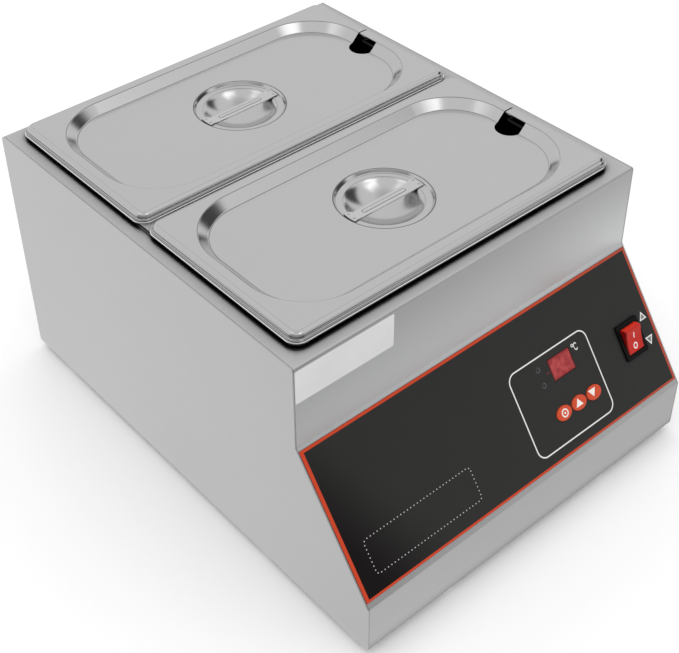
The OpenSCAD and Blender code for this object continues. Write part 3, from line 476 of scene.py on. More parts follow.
# Signs on the keys: a ring with a dot, and triangles a little left of the middle
keySigns = {
    "row": 92.6, "ring": 3.0, "ringWidth": 1.1, "dot": 0.9, "halfBase": 4.0,
    "up": {"tip": 88.5, "base": 94.9, "shift": 1.1},
    "down": {"tip": 95.3, "base": 88.9, "shift": 1.9},
    "low": (0.56, 0.052, 0.013), "high": (0.66, 0.075, 0.020), "sign": (0.86, 0.82, 0.78),
}


def keyOrange(name, mark, middle):
    s = keySigns
    p = paintFor(name, IOR=1.48, Specular_IOR_Level=0.4)
    u, v = panelAxes(p)
    if mark == "ring":
        away = diagonal(u - middle, v - s["row"])
        sign = outlined(away - s["ring"], s["ringWidth"], 0.35).over(inked(away - s["dot"], 0.35))
    else:
        tip = (middle - s[mark]["shift"], s[mark]["tip"])
        sign = inked(triangleDistance(u, v, tip, s[mark]["base"], s["halfBase"]), 0.4)
    rub = p.noise(700, detail=3.0)
    return p.finished(p.mixed(sign, p.mixed(rub, s["low"], s["high"]), s["sign"]),
                      rub * 0.1 + 0.36, rub + sign, 0.06, 0.0001)


# Signs on the rocker, a bar and a ring, the painted shade of its turned-away left flank and the painted light
# of its top
rockerSigns = {
    "bar": {"down": 69.9, "half": (0.5, 2.4), "radius": 0.3},
    "ring": {"down": 79.3, "radius": 2.3, "narrow": 0.85, "width": 1.1},
    "height": 2.0, "flank": 8.3, "top": 63.6,
    "low": (0.46, 0.010, 0.006), "high": (0.56, 0.020, 0.010), "flankShade": (0.22, 0.004, 0.003),
    "topLight": (0.78, 0.035, 0.018), "sign": (0.9, 0.82, 0.8),
}


def rockerRed(name, middle):
    # clear red moulding with the two switch signs on its face
    s = rockerSigns
    p = paintFor(name, IOR=1.5, Specular_IOR_Level=0.2, Coat_Roughness=0.1)
    u, v = panelAxes(p)
    bar = roundedDistance(u, v, (middle, s["bar"]["down"]), s["bar"]["half"], s["bar"]["radius"])
    ring = ringDistance(u, v, {"middle": (middle, s["ring"]["down"]), "radius": s["ring"]["radius"]},
                        s["ring"]["narrow"])
    face = inked(s["height"] - fromSlopeTop(p, slopeOut), 0.6)
    sign = inked(bar).over(outlined(ring, s["ring"]["width"])) * face
    swirl = p.noise(90, detail=2.0)
    # painted shade on the left flank and painted light on the top facet
    flank = inked(u - (middle - s["flank"]), 1.2)
    top = inked(v - s["top"], 0.8) * (1 - flank)
    ground = p.mixed(flank, p.mixed(swirl, s["low"], s["high"]), s["flankShade"])
    p.feed("Coat Weight", sign * -0.05 + 0.06)
    return p.finished(p.mixed(sign, p.mixed(top, ground, s["topLight"]), s["sign"]),
                      swirl * 0.08 + 0.34, p.noise(900) + sign, 0.03, 0.0001)


def labelPaper(name):
    p = paintFor(name, IOR=1.45, Specular_IOR_Level=0.4)
    pulp = p.noise(1300, detail=3.0)
    age = p.noise(24, detail=3.0)
    return p.finished(p.toned(pulp * 0.3 + age * 0.7, white, 0.66, 0.74),
                      pulp * 0.1 + 0.45, pulp, 0.05, 0.0001)


# Painted shade: thin dark lines on the lid's bends, rim and corner, in millimetres. Rings and rim lines
# are stated as (radius or inset, width, depth).
paintedBendLines = {
    "recess": [{"middle": (0, 0), "half": (148.9, 74.4), "radius": 52.9, "depth": 0.8},
               {"middle": (0, 0), "half": (140.7, 66.2), "radius": 44.7, "depth": 0.95}],
    "recessWidth": 0.4,
    "fade": (-60.0, 60.0, 0.55),
    "corner": {"u": 100.0, "uRun": 22.0, "v": 8.0, "vRun": 10.0, "inset": 0.9, "width": 1.6, "depth": 0.7},
    "ring": [(39.5, 0.7, 0.9), (31.8, 0.5, 0.3)],
    "rim": [(0.3, 0.7, 0.95), (1.6, 0.4, 0.8), (6.2, 0.3, 0.3)],
}


def lidAxes(p):
    # millimetres from the middle of the nearer lid
    front, rear = place["panMiddles"]["front"], place["panMiddles"]["rear"]
    x, y, z = p.axes()
    return x * inMm, (y * inMm - front).wrapped(rear - front)


def rimInset(u, v):
    return roundedDistance(u, v, (0, 0), (ware["halfLong"], ware["halfWide"]), ware["rimRadius"]) * -1.0


def lidPaintedLines(p):
    s = paintedBendLines
    u, v = lidAxes(p)
    # the painted lines are darker toward the back
    fade = p.ranged(v, *s["fade"])
    # painted shade: the turned-away wall of the left front corner is darker
    c = s["corner"]
    corner = ((u * -1.0 - c["u"]) / c["uRun"]).clamped() * ((v * -1.0 + c["v"]) / c["vRun"]).clamped()
    wall = boxDistance(u, v, s["recess"][0]) + c["inset"]
    made = [outlined(wall, c["width"], 0.8) * corner * c["depth"]]
    made += [outlined(boxDistance(u, v, line), s["recessWidth"], 0.5) * fade * line["depth"]
             for line in s["recess"]]
    ring, inset = diagonal(u, v), rimInset(u, v)
    made += [outlined(ring - radius, width, 0.5) * depth for radius, width, depth in s["ring"]]
    made += [outlined(inset - start, width, 0.3) * depth for start, width, depth in s["rim"]]
    return reduce(Wire.over, made)


# The painted shade below the notch lies in millimetres across the lid; its heights and those of the painted
# rim highlight are in metres
notchShadePlace = {"middle": 3.0, "half": 12.5, "start": 147.6, "end": 153.5, "low": 0.226, "high": 0.234,
           "depth": 0.97}
rimHighlightPlace = {"width": 0.75, "above": 0.2373}


def paintedRimHighlight(p):
    # painted highlight along the rolled edge of a pan
    return inked(rimInset(*lidAxes(p)) - rimHighlightPlace["width"], 0.2) * (p.axes()[2] > rimHighlightPlace["above"])


def panNotchShade(p):
    # painted shade on the mouth below the spoon notch
    s = notchShadePlace
    u, v = lidAxes(p)
    across = inked(abs(v - s["middle"]) - s["half"], 2.0)
    along = inked(s["start"] - u, 0.6) * inked(u - s["end"], 1.0)
    return across * along * p.ranged(p.axes()[2], s["low"], s["high"]) * s["depth"]


# Painted shade at the foot of the strap's bead, and the spot welds, in millimetres
strapMarks = {"bead": {"middle": (0, 0), "half": (22.3, 1.75), "radius": 1.7, "width": 0.5, "depth": 0.85},
              "weld": {"u": 33.6, "v": 3.4, "radius": 0.75, "width": 0.35, "depth": 0.8}}


def strapShadeAndWelds(p):
    # painted shade along the foot of the raised bead, and the dark spot welds of the ends
    bead, weld = strapMarks["bead"], strapMarks["weld"]
    u, v = lidAxes(p)
    ring = diagonal(abs(u) - weld["u"], abs(v) - weld["v"]) - weld["radius"]
    foot = outlined(boxDistance(u, v, bead), bead["width"], 0.5) * bead["depth"]
    return foot.over(outlined(ring, weld["width"], 0.4) * weld["depth"])


# The wrap: joint along each side panel in millimetres; painted light on the upper front
# and a smoother top, with their places in metres
wrapLook = {"joint": 173.7, "jointDepth": 0.8, "paintedLightTop": 0.228, "paintedLightFoot": 0.166, "above": 0.06,
            "before": -0.1615, "rough": 0.42, "top": 0.2335, "smoother": 0.13}


def wrapLines(p):
    return inked(wrapLook["joint"] - abs(p.axes()[0]) * inMm, 0.3) * wrapLook["jointDepth"]


def paintedFrontLight(p):
    s = wrapLook
    x, y, z = p.axes()
    # painted light: the upper front grows paler downward
    return p.ranged(z, s["paintedLightTop"], s["paintedLightFoot"]) * (z > s["above"]) * (y < s["before"])


def wrapPolish(p):
    return wrapLook["rough"] - (p.axes()[2] > wrapLook["top"]) * wrapLook["smoother"]


finishes = {
    "housing_steel": steel("wrapSteel", grey(0.60), 0.33, gap="plate", lines=wrapLines,
                           polish=wrapPolish, lift=paintedFrontLight),
    "side": steel("sideSteel", grey(0.60), 0.33, alongY),
    "lid": steel("lidSteel", grey(0.62), 0.165, streak=0.008, cloud=0.01, fine=0.01,
                 gap="ware", lines=lidPaintedLines),
    "pan": steel("panSteel", grey(0.62), 0.12, streak=0.02, cloud=0.02, gap="pan",
                 bright=paintedRimHighlight, lines=panNotchShade),
    "strap": steel("strapSteel", grey(0.68), 0.2, streak=0.02, cloud=0.02, gap="ware",
                   lines=strapShadeAndWelds),
    "plate_steel": steel("plateSteel", grey(0.56), 0.36, streak=0.06),
    "screw_steel": plainMetal("zincPlate", (0.60, 0.60, 0.58), 0.3),
    "well_aluminium": steel("wellAluminium", (0.72, 0.72, 0.73), 0.36, alongZ, streak=0.08),
    "probe_steel": plainMetal("probeSteel", grey(0.6), 0.26),
    "mat_silicone": siliconeMat("matSilicone", (0.42, 0.10, 0.05)),
    "wool": fibreBoard("woolBoard", (0.75, 0.68, 0.45)),
    "cutout_body": plainMetal("cutoutShell", (0.7, 0.7, 0.68), 0.32),
    "rubber": moulded("footRubber", grey(0.02), 0.75, 900, 0.25),
    "foil": overlayFoil("panelFoil"),
    "window_red": displayRed("displayRed"),
    "lens": moulded("lensMilk", grey(0.022), 0.4),
    "board": boardGreen("boardGreen"),
    "module_dark": moulded("moduleDark", (0.05, 0.012, 0.012), 0.35),
    "dark_plastic": moulded("darkPlastic", grey(0.003), 0.45, 2600, 0.08, 0.14),
    "brass": plainMetal("brassParts", (0.72, 0.50, 0.18), 0.3),
    "relay_blue": moulded("relayBlue", (0.02, 0.08, 0.35), 0.35),
    "transformer": laminations("coreSheets", (0.12, 0.11, 0.1)),
    "ivory": moulded("ivoryPlastic", (0.66, 0.62, 0.52), 0.45),
    "lead_brown": leadSkin("leadBrown", (0.16, 0.06, 0.03)),
    "lead_white": leadSkin("leadBraid", (0.72, 0.72, 0.7), 0.3),
    "lead_red": leadSkin("leadRed", (0.5, 0.05, 0.04)),
}
print("finishes made")


# Mesh helpers
def edgesOf(found):
    return [e for e in found["geom"] if isinstance(e, bmesh.types.BMEdge)]


def vertsOf(found):
    return [v for v in found["geom"] if isinstance(v, bmesh.types.BMVert)]


def asObject(bm, name, material=None):
    mesh = bpy.data.meshes.new(name)
    bm.to_mesh(mesh)
    bm.free()
    made = bpy.data.objects.new(name, mesh)
    scene.collection.objects.link(made)
    if material:
        mesh.materials.append(material)
    return made


def settled(obj):
    # every modifier becomes part of the mesh
    bpy.context.view_layer.update()
    graph = bpy.context.evaluated_depsgraph_get()
    mesh = bpy.data.meshes.new_from_object(obj.evaluated_get(graph))
    obj.modifiers.clear()
    old = obj.data
    obj.data = mesh
    bpy.data.meshes.remove(old)
    mesh.name = obj.name
    return obj


def evenShading(obj, angle):
    # smooth over gentle bends, flat on flat sheet, crisp at real edges
    bm = bmesh.new()
    bm.from_mesh(obj.data)
    for face in bm.faces:
        face.smooth = True
    for edge in bm.edges:
        edge.smooth = edge.calc_face_angle(0) <= radians(angle)
    bm.to_mesh(obj.data)
    bm.free()
    weigh = obj.modifiers.new("even", "WEIGHTED_NORMAL")
    weigh.keep_sharp = True
    weigh.weight = 90


def put(obj, body, replaced=(), angle=None):
    if angle:
        evenShading(obj, angle)
    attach(obj, body)
    if replaced:
        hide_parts(*replaced)


def roundedLoop(bm, station, steps):
    # closed outline of a rounded rectangle: a circle whose quarters are moved apart
    halfLong, halfWide, radius, height = station
    count = 4 * (steps + 1)
    made = bmesh.ops.create_circle(bm, cap_ends=False, segments=count,
                                   radius=radius / cos(math.pi / count))["verts"]
    turned(bm, made, math.pi / count, "Z")
    quarters = {(sx, sy): [v for v in made if v.co.x * sx > 0 and v.co.y * sy > 0]
                for sx in (-1, 1) for sy in (-1, 1)}
    for (sx, sy), verts in quarters.items():
        moved(bm, verts, (sx * (halfLong - radius), sy * (halfWide - radius), height))
    return list({e for v in made for e in v.link_edges})


def rolled(bm, edges, size, segments):
    bmesh.ops.bevel(bm, geom=edges, offset=size, offset_type="OFFSET", segments=segments, profile=0.5,
                    affect="EDGES", clamp_overlap=True, material=-1)


def facedOut(bm):
    bmesh.ops.recalc_face_normals(bm, faces=bm.faces)


def moved(bm, verts, vec):
    bmesh.ops.translate(bm, verts=verts, vec=vec)


def edgesBentBy(bm, angle):
    return [e for e in bm.edges if e.calc_face_angle(0) > radians(angle)]


def lofted(bm, stations, steps):
    # one outline is extruded from station to station; the last is filled
    edges = roundedLoop(bm, stations[0], steps)
    for old, new in zip(stations, stations[1:]):
        made = bmesh.ops.extrude_edge_only(bm, edges=edges)
        edges = [e for e in edgesOf(made) if e.is_boundary]
        for v in vertsOf(made):
            sx, sy = math.copysign(1, v.co.x), math.copysign(1, v.co.y)
            dx = (v.co.x - sx * (old[0] - old[2])) / old[2]
            dy = (v.co.y - sy * (old[1] - old[2])) / old[2]
            v.co = (sx * (new[0] - new[2]) + dx * new[2], sy * (new[1] - new[2]) + dy * new[2], new[3])
    bmesh.ops.edgeloop_fill(bm, edges=edges)
    facedOut(bm)


def turned(bm, verts, angle, axis):
    bmesh.ops.rotate(bm, verts=verts, cent=(0, 0, 0), matrix=Matrix.Rotation(angle, 3, axis))


def scaledToMetres(bm, middle=(0, 0, 0)):
    moved(bm, bm.verts, middle)
    bmesh.ops.scale(bm, verts=bm.verts, vec=(mm, mm, mm))


def block(bm, low, high):
    made = bmesh.ops.create_cube(bm, size=1)["verts"]
    size = [b - a for a, b in zip(low, high)]
    middle = [(a + b) / 2 for a, b in zip(low, high)]
    bmesh.ops.scale(bm, verts=made, vec=size)
    moved(bm, made, middle)


def drum(bm, radius, low, high, middle=(0, 0)):
    made = bmesh.ops.create_cone(bm, cap_ends=True, segments=48, radius1=radius,
                                 radius2=radius, depth=high - low)["verts"]
    moved(bm, made, (*middle, (low + high) / 2))


def cutAway(obj, cutters):
    # cutters are bmeshes in metres
    for bm in cutters:
        tool = asObject(bm, "cutter")
        step = obj.modifiers.new("cut", "BOOLEAN")
        step.operation = "DIFFERENCE"
        step.solver = "EXACT"
        step.object = tool
        settled(obj)
        bpy.data.objects.remove(tool)


def softened(name, nodeName, material, width, segments, picks=()):
    # a housing node's own shape with rolled or deburred edges
    bm = bmesh.new()
    bm.from_mesh(nodes[nodeName].data)
    bmesh.ops.remove_doubles(bm, verts=bm.verts, dist=1e-6)
    bmesh.ops.dissolve_limit(bm, angle_limit=radians(0.4), verts=bm.verts, edges=bm.edges)
    for test, size, count in [*picks, (None, width, segments)]:
        sharp = [e for e in edgesBentBy(bm, 40) if test is None or test(e)]
        rolled(bm, sharp, size * mm, count)
    put(asObject(bm, name, material), "housing", [nodeName], 32)


# Pressed ware: pans, lids and wells share one way of stating a section
def atEdge(inset, radius, height):
    return (ware["halfLong"] - inset, ware["halfWide"] - inset, radius, height)


def atRim(inset, height):
    return atEdge(inset, ware["rimRadius"] - inset, height)


def arc(start, end, steps):
    return [radians(start + (end - start) * k / steps) for k in range(steps + 1)]


pan = {"rimTop": 4.2, "seat": 3.2, "thick": 1.0, "roll": 0.6, "neck": 3.0, "mouth": 46,
       "wallIn": 12.5, "draft": 4.0, "depth": 100, "foot": 12.0}


def panStations():
    s = pan
    top = s["rimTop"]
    inner = s["wallIn"] + s["thick"]
    low = top - s["depth"] + s["thick"]
    foot, footRadius = inner + s["draft"], s["mouth"] - s["thick"] - s["draft"]
    rows = [atRim(0, s["seat"]), atRim(0, top - s["roll"])]
    rows += [atRim(s["roll"] * (1 - cos(a)), top - s["roll"] + s["roll"] * sin(a))
             for a in arc(20, 90, 3)]
    rows += [atEdge(inner - s["neck"] + s["neck"] * sin(a),
                    s["mouth"] - s["thick"] + s["neck"] * (1 - sin(a)),
                    top - s["neck"] + s["neck"] * cos(a)) for a in arc(0, 90, 6)]
    rows += [atEdge(foot + s["foot"] * (1 - cos(a)), footRadius - s["foot"] * (1 - cos(a)),
                    low + s["foot"] - s["foot"] * sin(a)) for a in arc(0, 90, 8)]
    return rows


def thickened(obj, thick, even):
    shell = obj.modifiers.new("sheet", "SOLIDIFY")
    shell.thickness = thick * mm
    shell.offset = -1
    shell.use_even_offset = even
    return settled(obj)


def pressedPiece(name, stations, thick, middleY, material, steps):
    bm = bmesh.new()
    lofted(bm, stations, steps)
    scaledToMetres(bm, (0, middleY, place["plate"]))
    return thickened(asObject(bm, name, material), thick, True)


lid = {"thick": 0.9, "rimTop": 4.2, "border": 5.8, "lipIn": 0.6, "lipFlat": 1.4, "lipBend": 0.6,
       "shoulder": 4.0, "centreIn": 12.5, "centreRadius": 54, "centreDepth": 8.0, "bend": 2.5, "lean": 45,
       "ring": 39.4, "ringDepth": 2.6, "ringBend": 0.7, "ringLean": 54,
       "bowl": 31.5, "bowlDepth": 14.0, "bowlRun": 1.2, "bowlSink": 0.8, "round": 0.001,
       "notchWidth": 24, "notchIn": 20, "notchOff": 3, "notchReach": (-2, 14), "overlap": 0.02,
       "slitWidth": 1.4, "slitIn": 3.6}


def lidStations():
    s = lid
    lip = s["rimTop"] + s["thick"]
    top = s["rimTop"] + s["border"]
    wall = s["lipIn"] + s["lipFlat"] + s["thick"] / 2
    soft = s["lipBend"]
    rows = [atRim(s["lipIn"], lip), atRim(wall - soft, lip)]
    rows += [atRim(wall - soft + soft * sin(a), lip + soft * (1 - cos(a))) for a in arc(22, 90, 3)]
    soft = s["shoulder"]
    rows += [atRim(wall + soft * (1 - cos(a)), top - soft + soft * sin(a)) for a in arc(0, 90, 9)]
    e, lean = s["bend"], radians(s["lean"])
    run, drop = e * sin(lean), e * (1 - cos(lean))
    start, floor = s["centreIn"], top - s["centreDepth"]
    wallRun = s["centreDepth"] - 2 * drop
    rows += [atEdge(start + e * sin(a), s["centreRadius"] - e * sin(a), top - e * (1 - cos(a)))
             for a in arc(0, s["lean"], 4)]
    foot = start + 2 * run + wallRun
    rows += [atEdge(foot - e * sin(a), s["centreRadius"] - (foot - start) + e * sin(a),
                    floor + e * (1 - cos(a))) for a in arc(s["lean"], 0, 4)]

    def roundAt(radius, height):
        return (radius, radius, radius - s["round"], height)

    ringFloor = floor - s["ringDepth"]
    soft, steep = s["ringBend"], s["ringLean"]
    sink = soft * (1 - cos(radians(steep)))
    turnRun = soft * sin(radians(steep))
    fallRun = (s["ringDepth"] - 2 * sink) / math.tan(radians(steep))
    ringFoot = s["ring"] - 2 * turnRun - fallRun
    rows += [roundAt(s["ring"] - soft * sin(a), floor - soft * (1 - cos(a)))
             for a in arc(0, steep, 4)]
    rows += [roundAt(ringFoot + soft * sin(a), ringFloor + soft * (1 - cos(a)))
             for a in arc(steep, 0, 4)]
    deep = s["bowlDepth"]
    sphere = (s["bowl"] ** 2 + deep ** 2) / (2 * deep)
    rim = math.degrees(math.asin(s["bowl"] / sphere))
    centre = ringFloor - deep + sphere
    rows += [roundAt(s["bowl"] + s["bowlRun"] * (1 - sin(a)),
                     ringFloor - s["bowlSink"] * (1 - cos(a))) for a in arc(0, rim, 4)]
    rows += [roundAt(sphere * sin(a), centre - sphere * cos(a))
             for a in arc(rim * 0.96, rim * 0.04, 16)]
    return rows


def notchCutters(middleY):
    # the round end, the throat through wall and border, and the narrow slit beyond it
    s = lid
    half, far = s["notchWidth"] / 2, s["notchOff"] + s["notchWidth"] / 2
    x = ware["halfLong"] - s["notchIn"]
    low, high = [place["plate"] + reach for reach in s["notchReach"]]
    end, throat, slit = bmesh.new(), bmesh.new(), bmesh.new()
    drum(end, half, low, high, (x, s["notchOff"]))
    bmesh.ops.bisect_plane(end, geom=end.verts[:] + end.edges[:] + end.faces[:], dist=0.001,
                           plane_co=(x + s["overlap"], 0, 0), plane_no=(1, 0, 0), clear_outer=True)
    bmesh.ops.holes_fill(end, edges=end.edges, sides=0)
    block(throat, (x, s["notchOff"] - half, low),
          (ware["halfLong"] - s["centreIn"] - s["bend"] / 2, far - s["overlap"] / 2, high))
    block(slit, (x, far - s["slitWidth"], low), (ware["halfLong"] - s["slitIn"], far, high))
    for bm in (end, throat, slit):
        scaledToMetres(bm, (0, middleY, 0))
    return end, throat, slit


strap = {"end": 36.5, "pad": 4.4, "step": 4.0, "width": 12.6, "waist": 10.2, "thick": 1.2, "drop": 1.4,
         "rib": 44, "ribWidth": 3.2, "ribHeight": 0.5, "ribEnd": 1.6, "round": 0.28}


def strapHandle(name, middleY, material):
    s = strap
    base = place["plate"] + lid["rimTop"] + lid["border"] - lid["centreDepth"] - lid["ringDepth"]
    xs = [-s["end"], -s["end"] + s["pad"], -s["end"] + s["pad"] + s["step"]]
    xs += [-s["rib"] / 2 + s["rib"] * k / 24 for k in range(25)]
    xs += [s["end"] - s["pad"] - s["step"], s["end"] - s["pad"], s["end"]]
    bm = bmesh.new()
    bmesh.ops.create_grid(bm, x_segments=len(xs) - 1, y_segments=12, size=1)
    columns = sorted({round(v.co.x, 4) for v in bm.verts})
    where = dict(zip(columns, xs))
    for v in bm.verts:
        x = where[round(v.co.x, 4)]
        near = abs(x)
        lift = min(1, max(0, (s["end"] - s["pad"] - near) / s["step"]))
        lift = lift * lift * (3 - 2 * lift)
        half = (s["width"] + (s["waist"] - s["width"]) * lift) / 2
        y = v.co.y * half
        # the ends follow the ring of the lid
        if x in (xs[0], xs[-1]):
            x = math.copysign(math.sqrt(s["end"] ** 2 - y * y), x)
        rib = max(0, 1 - (abs(y) / (s["ribWidth"] / 2)) ** 4) if abs(y) < s["ribWidth"] / 2 else 0
        reach = min(1, max(0, (s["rib"] / 2 - near) / s["ribEnd"]))
        v.co = (x, y, s["thick"] - s["drop"] * lift + s["ribHeight"] * rib * reach)
    facedOut(bm)
    scaledToMetres(bm, (0, middleY, base))
    made = thickened(asObject(bm, name, material), s["thick"], False)
    bm = bmesh.new()
    bm.from_mesh(made.data)
    rolled(bm, edgesBentBy(bm, 60), s["round"] * mm, 3)
    bm.to_mesh(made.data)
    bm.free()
    return made


for word, middleY in place["panMiddles"].items():
    side = word.capitalize()
    panPiece = pressedPiece("pan" + side, panStations(), pan["thick"], middleY, finishes["pan"], 22)
    put(panPiece, "pan_" + word, ["pan_" + word], 50)
    lidPiece = pressedPiece("lid" + side, lidStations(), lid["thick"], middleY, finishes["lid"], 30)
    cutAway(lidPiece, notchCutters(middleY))
    put(lidPiece, "lid_" + word, ["lid_" + word], 50)
    handle = strapHandle("strap" + side, middleY, finishes["strap"])
    put(handle, "lid_" + word, ["lid_handle_" + word], 40)
print("pans, lids and handles made")


# Wells under the pans
well = {"edge": 8.5, "radius": 50, "lip": 3.4, "thick": 1.5, "top": 2.2, "draft": 2.0, "foot": 10,
        "floor": -101.8, "bend": 0.5}


def wellStations():
    s = well
    outer = s["edge"] - s["thick"] - s["lip"]
    rows = [atEdge(outer, s["radius"] - s["thick"], s["top"])]
    rows += [atEdge(s["edge"] - s["bend"] * (1 - sin(a)), s["radius"] + s["bend"] * (1 - sin(a)),
                    s["top"] - s["bend"] * (1 - cos(a))) for a in arc(0, 90, 4)]
    deep = s["edge"] + s["draft"]
    rows += [atEdge(deep + s["foot"] * (1 - cos(a)),
                    s["radius"] - s["draft"] - s["foot"] * (1 - cos(a)),
                    s["floor"] + s["foot"] * (1 - sin(a))) for a in arc(0, 90, 7)]
    return rows


for word, middleY in place["panMiddles"].items():
    piece = pressedPiece("well" + word.capitalize(), wellStations(), well["thick"], middleY,
                         finishes["well_aluminium"], 18)
    put(piece, "housing", ["heating_well_" + word], 50)
print("wells made")


# Housing sheets with rolled edges
def onSeat(edge):
    z = [v.co.z / mm for v in edge.verts]
    return min(z) > place["plate"] - 0.2


softened("housingWrap", "body_wrap", finishes["housing_steel"], 0.3, 2,
         picks=[(onSeat, 0.45, 3)])
for side in ("left", "right"):
    softened("side" + side.capitalize(), "side_panel_" + side, finishes["side"], 0.35, 3)
for nodeName, name, slot, width, segments in (
        ("rear_panel", "rearSheet", "plate_steel", 0.25, 2),
        ("base_plate", "baseSheet", "plate_steel", 0.25, 2),
        ("rear_panel_screws", "rearScrews", "screw_steel", 0.2, 3),
        ("base_screws", "baseScrews", "screw_steel", 0.2, 3),
        ("rubber_feet", "feet", "rubber", 0.8, 3),
        ("foot_screws", "footScrews", "screw_steel", 0.2, 3),
        ("cable_gland", "cordGland", "dark_plastic", 0.4, 3),
        ("gland_locknut", "glandNut", "dark_plastic", 0.3, 3),
        ("terminal_block", "terminals", "ivory", 0.4, 3),
        ("relays", "relayPair", "relay_blue", 0.4, 3),
        ("transformer", "supplyCore", "transformer", 0.5, 3),
        ("board_connectors", "plugs", "ivory", 0.3, 3),
        ("rocker_housing", "switchBezel", "dark_plastic", 0.45, 3),
        ("display_window", "displayPane", "window_red", 0.25, 3),
        ("indicator_lenses", "lamps", "lens", 0.25, 3)):
    softened(name, nodeName, finishes[slot], width, segments)
print("housing made")


# Blank label on the upper front face
label = {"left": -173.2, "right": -83, "top": 230.8, "bottom": 200.9, "front": -162.12, "back": -161.98,
         "corner": 1.2}
bm = bmesh.new()
block(bm, (label["left"], label["front"], label["bottom"]), (label["right"], label["back"], label["top"]))
corners = [e for e in bm.edges if abs(e.verts[0].co.y - e.verts[1].co.y) > 0.05]
rolled(bm, corners, label["corner"], 4)
scaledToMetres(bm)
put(asObject(bm, "blankLabel", labelPaper("labelPaper")), "housing")


# Keys: domed ovals on a flange and a stem
keys = {"width": 16.2, "height": 12, "down": 92.6, "top": 1.6, "dome": 0.35, "domeStep": 1.2, "round": 0.9,
        "bottom": -1.3, "flange": {"side": 0.4, "end": 1.0, "low": -2.28, "high": -1.28},
        "stem": {"radius": 2.0, "low": -4.5, "high": -1.4},
        "middles": {"set": (51.9, "ring"), "up": (69.5, "up"), "down": (87.1, "down")}}


def toPanel(bm, x, down):
    turned(bm, bm.verts, slope, "X")
    scaledToMetres(bm, onPanel(x, down))


def keyCap(name, x, material):
    s = keys
    bm = bmesh.new()
    rings = [(0, s["bottom"]), (0, s["top"] - s["round"])]
    rings += [(-s["round"] * (1 - cos(a)), s["top"] - s["round"] + s["round"] * sin(a))
              for a in arc(18, 90, 4)]
    rings += [(-s["round"] - s["domeStep"] * k, s["top"] + s["dome"] * (1 - (1 - k / 3.6) ** 2))
              for k in (1, 2, 3)]
    made = bmesh.ops.create_circle(bm, cap_ends=False, segments=64, radius=1)["verts"]
    edges = list({e for v in made for e in v.link_edges})
    old = (1, 1)
    for k, (grow, height) in enumerate(rings):
        if k:
            found = bmesh.ops.extrude_edge_only(bm, edges=edges)
            edges = [e for e in edgesOf(found) if e.is_boundary]
            made = vertsOf(found)
        new = (s["width"] / 2 + grow, s["height"] / 2 + grow)
        for v in made:
            flat = Vector((v.co.x / old[0], v.co.y / old[1])).normalized()
            v.co = (flat.x * new[0], flat.y * new[1], height)
        old = new
    bmesh.ops.edgeloop_fill(bm, edges=edges)
    rim = s["flange"]
    flange = bmesh.ops.create_cone(bm, cap_ends=True, segments=64, radius1=1, radius2=1,
                                   depth=rim["high"] - rim["low"])["verts"]
    bmesh.ops.scale(bm, verts=flange, vec=(s["width"] / 2 + rim["side"], s["height"] / 2 + rim["end"], 1))
    moved(bm, flange, (0, 0, (rim["low"] + rim["high"]) / 2))
    drum(bm, s["stem"]["radius"], s["stem"]["low"], s["stem"]["high"])
    facedOut(bm)
    toPanel(bm, x, s["down"])
    return asObject(bm, name, material)


for word, (x, mark) in keys["middles"].items():
    material = keyOrange("key" + mark.capitalize(), mark, x + place["halfWidth"])
    cap = keyCap("key" + word.capitalize(), x, material)
    put(cap, word + "_key", ["key_" + word], 45)


# Rocker: the side profile swept across its width, with soft edges
rocker = {"x": 144.2, "down": 73.3, "pivot": 0.9, "half": 10.4, "reach": 4.6, "deep": 5.0,
          "dish": 1.0, "width": 18.5, "tilt": 16, "round": 0.7}


def rockerPiece(name, material):
    s = rocker
    radius = math.hypot(s["half"], s["reach"])
    dish = (s["half"] ** 2 + s["dish"] ** 2) / (2 * s["dish"])
    low = math.degrees(math.asin(s["deep"] / radius))
    high = math.degrees(math.asin(s["reach"] / radius))
    outline = [(radius * cos(a), radius * sin(a)) for a in arc(-low, high, 6)]
    sweep = math.degrees(math.asin(s["half"] / dish))
    outline += [(dish * sin(a), s["reach"] + dish - s["dish"] - dish * cos(a))
                for a in arc(sweep, -sweep, 16)][1:-1]
    outline += [(-radius * cos(a), radius * sin(a)) for a in arc(high, -low, 6)]
    bm = bmesh.new()
    ring = [bm.verts.new((-s["width"] / 2, y, z)) for y, z in outline]
    face = bm.faces.new(ring)
    swept = bmesh.ops.extrude_face_region(bm, geom=[face])
    moved(bm, vertsOf(swept), (s["width"], 0, 0))
    facedOut(bm)
    rolled(bm, edgesBentBy(bm, 40), s["round"], 4)
    turned(bm, bm.verts, radians(s["tilt"]), "X")
    moved(bm, bm.verts, (0, 0, s["pivot"]))
    toPanel(bm, s["x"], s["down"])
    return asObject(bm, name, material)


cap = rockerPiece("rockerCap", rockerRed("rockerRed", rocker["x"] + place["halfWidth"]))
put(cap, "rocker", ["rocker_actuator"], 30)
print("controls made")


# The CAD's own pieces that stay in view take the finish of their slot
for row in frame["record"]["subparts"]:
    node = nodes[row["node"]]
    if node.hide_render:
        continue
    material = finishes[row["material_slot"]]
    node.data.materials.clear()
    node.data.materials.append(material)
print("carried nodes painted")


# Studio: white floor and room, with soft panels that the metal mirrors
floorLook = {"white": 0.88, "glow": 0.12, "side": (-0.4, 0.5, 0.86, 0.68),
             "corner": (-0.64, -0.46, 0.1, 1.0)}


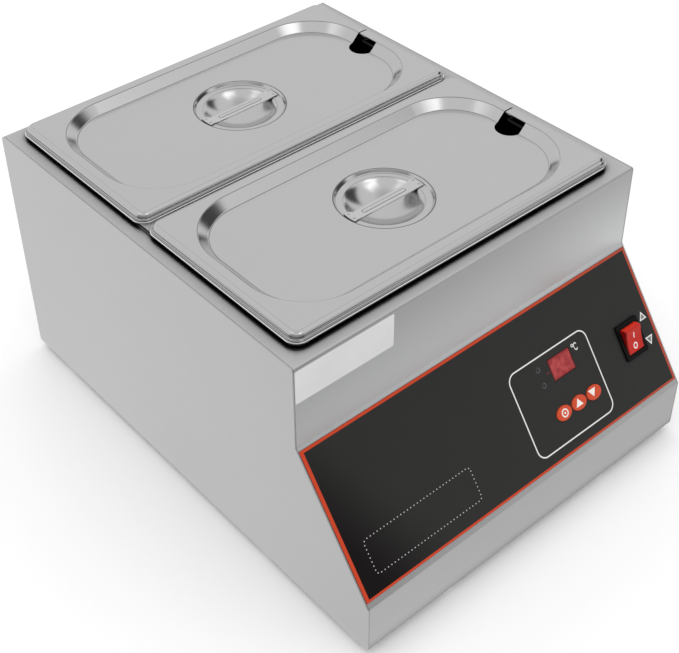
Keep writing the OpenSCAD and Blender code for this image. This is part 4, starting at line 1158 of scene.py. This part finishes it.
def whiteFloor():
    s = floorLook
    bm = bmesh.new()
    bmesh.ops.create_grid(bm, x_segments=2, y_segments=2, size=6)
    p = paintFor("floorWhite", Roughness=0.9, Specular_IOR_Level=0.1, Emission_Strength=1.0)
    x, y, z = p.axes()
    rays = p.add("ShaderNodeLightPath")
    glossy = rays.output("Is Glossy Ray")
    # paler to the left and behind, greyer in front of the panel, dark toward the camera
    side = p.ranged(x - y, *s["side"], smooth=True)
    corner = p.ranged(x + y, *s["corner"], smooth=True)
    speck = p.noise(3, detail=2.0) * 0.03 + (s["white"] - 0.015)
    p.feed("Base Color", p.mixed(glossy, p.mixed(speck, black, white), black))
    p.feed("Emission Color", p.mixed(glossy * side * corner + rays * s["glow"], black, white))
    floor = asObject(bm, "studioFloor", p.material)


roomLook = {"plain": 0.78, "forEye": 1.0}
# Each panel: its level, azimuth from +X and half of its turn, height and half of that, and
# the blur of its outline. All but the level are in degrees.
roomPanels = {
    "frontBox": (2.1, -78, 20, 57, 5, 12),
    "leftBox": (1.4, 157, 15, 57, 5, 12),
    "ceiling": (0.6, 0, 400, 90, 14, 8),
    "rightFlag": (0.06, -17, 21, 14, 23, 6),
    "frontFlag": (0.34, -127, 66, 15, 26, 7),
}


def room():
    # white for the eye; the metal sees a light room with two soft boxes and dark flags
    world = bpy.data.worlds.new("studioRoom")
    scene.world = world
    world.use_nodes = True
    p = Paint(world.node_tree)
    back = world.node_tree.nodes["Background"]
    x, y, z = p.axes(p.add("ShaderNodeTexCoord"))
    turn = y.maths("ARCTAN2", y, x) * math.degrees(1)
    climb = z.maths("ARCSINE", z) * math.degrees(1)
    level = roomLook["plain"]
    for light, azimuth, halfTurn, height, halfHeight, blur in roomPanels.values():
        beside = abs((turn - azimuth).wrapped(360.0)) - halfTurn
        above = abs(climb - height) - halfHeight
        level = p.ranged(beside.over(above), blur, -blur, smooth=True) * (light - level) + level
    rays = p.add("ShaderNodeLightPath")
    seen = rays.over(rays.output("Is Transmission Ray"))
    glossy = rays.output("Is Glossy Ray")
    strength = glossy * (level - roomLook["forEye"]) + roomLook["forEye"]
    strength = seen * (roomLook["forEye"] - strength) + strength
    back.inputs["Color"].default_value = (1, 1, 1, 1)
    world.node_tree.links.new(strength.socket, back.inputs["Strength"])


overhead = {"location": Vector((-0.3, 0.2, 2.2)), "target": Vector((0, 0, 0.1)), "size": 1.6, "power": 8}


def softLamp(name, s):
    # lights the scene, but no metal mirrors it
    light = bpy.data.lights.new(name, "AREA")
    light.shape = "RECTANGLE"
    light.size = light.size_y = s["size"]
    light.energy = s["power"]
    lamp = bpy.data.objects.new(name, light)
    lamp.location = s["location"]
    lamp.visible_glossy = False
    lamp.rotation_euler = (s["target"] - s["location"]).to_track_quat("-Z", "Y").to_euler()
    scene.collection.objects.link(lamp)


whiteFloor()
room()
softLamp("overheadLamp", overhead)
scene.view_settings.view_transform = "Standard"
print("studio made")
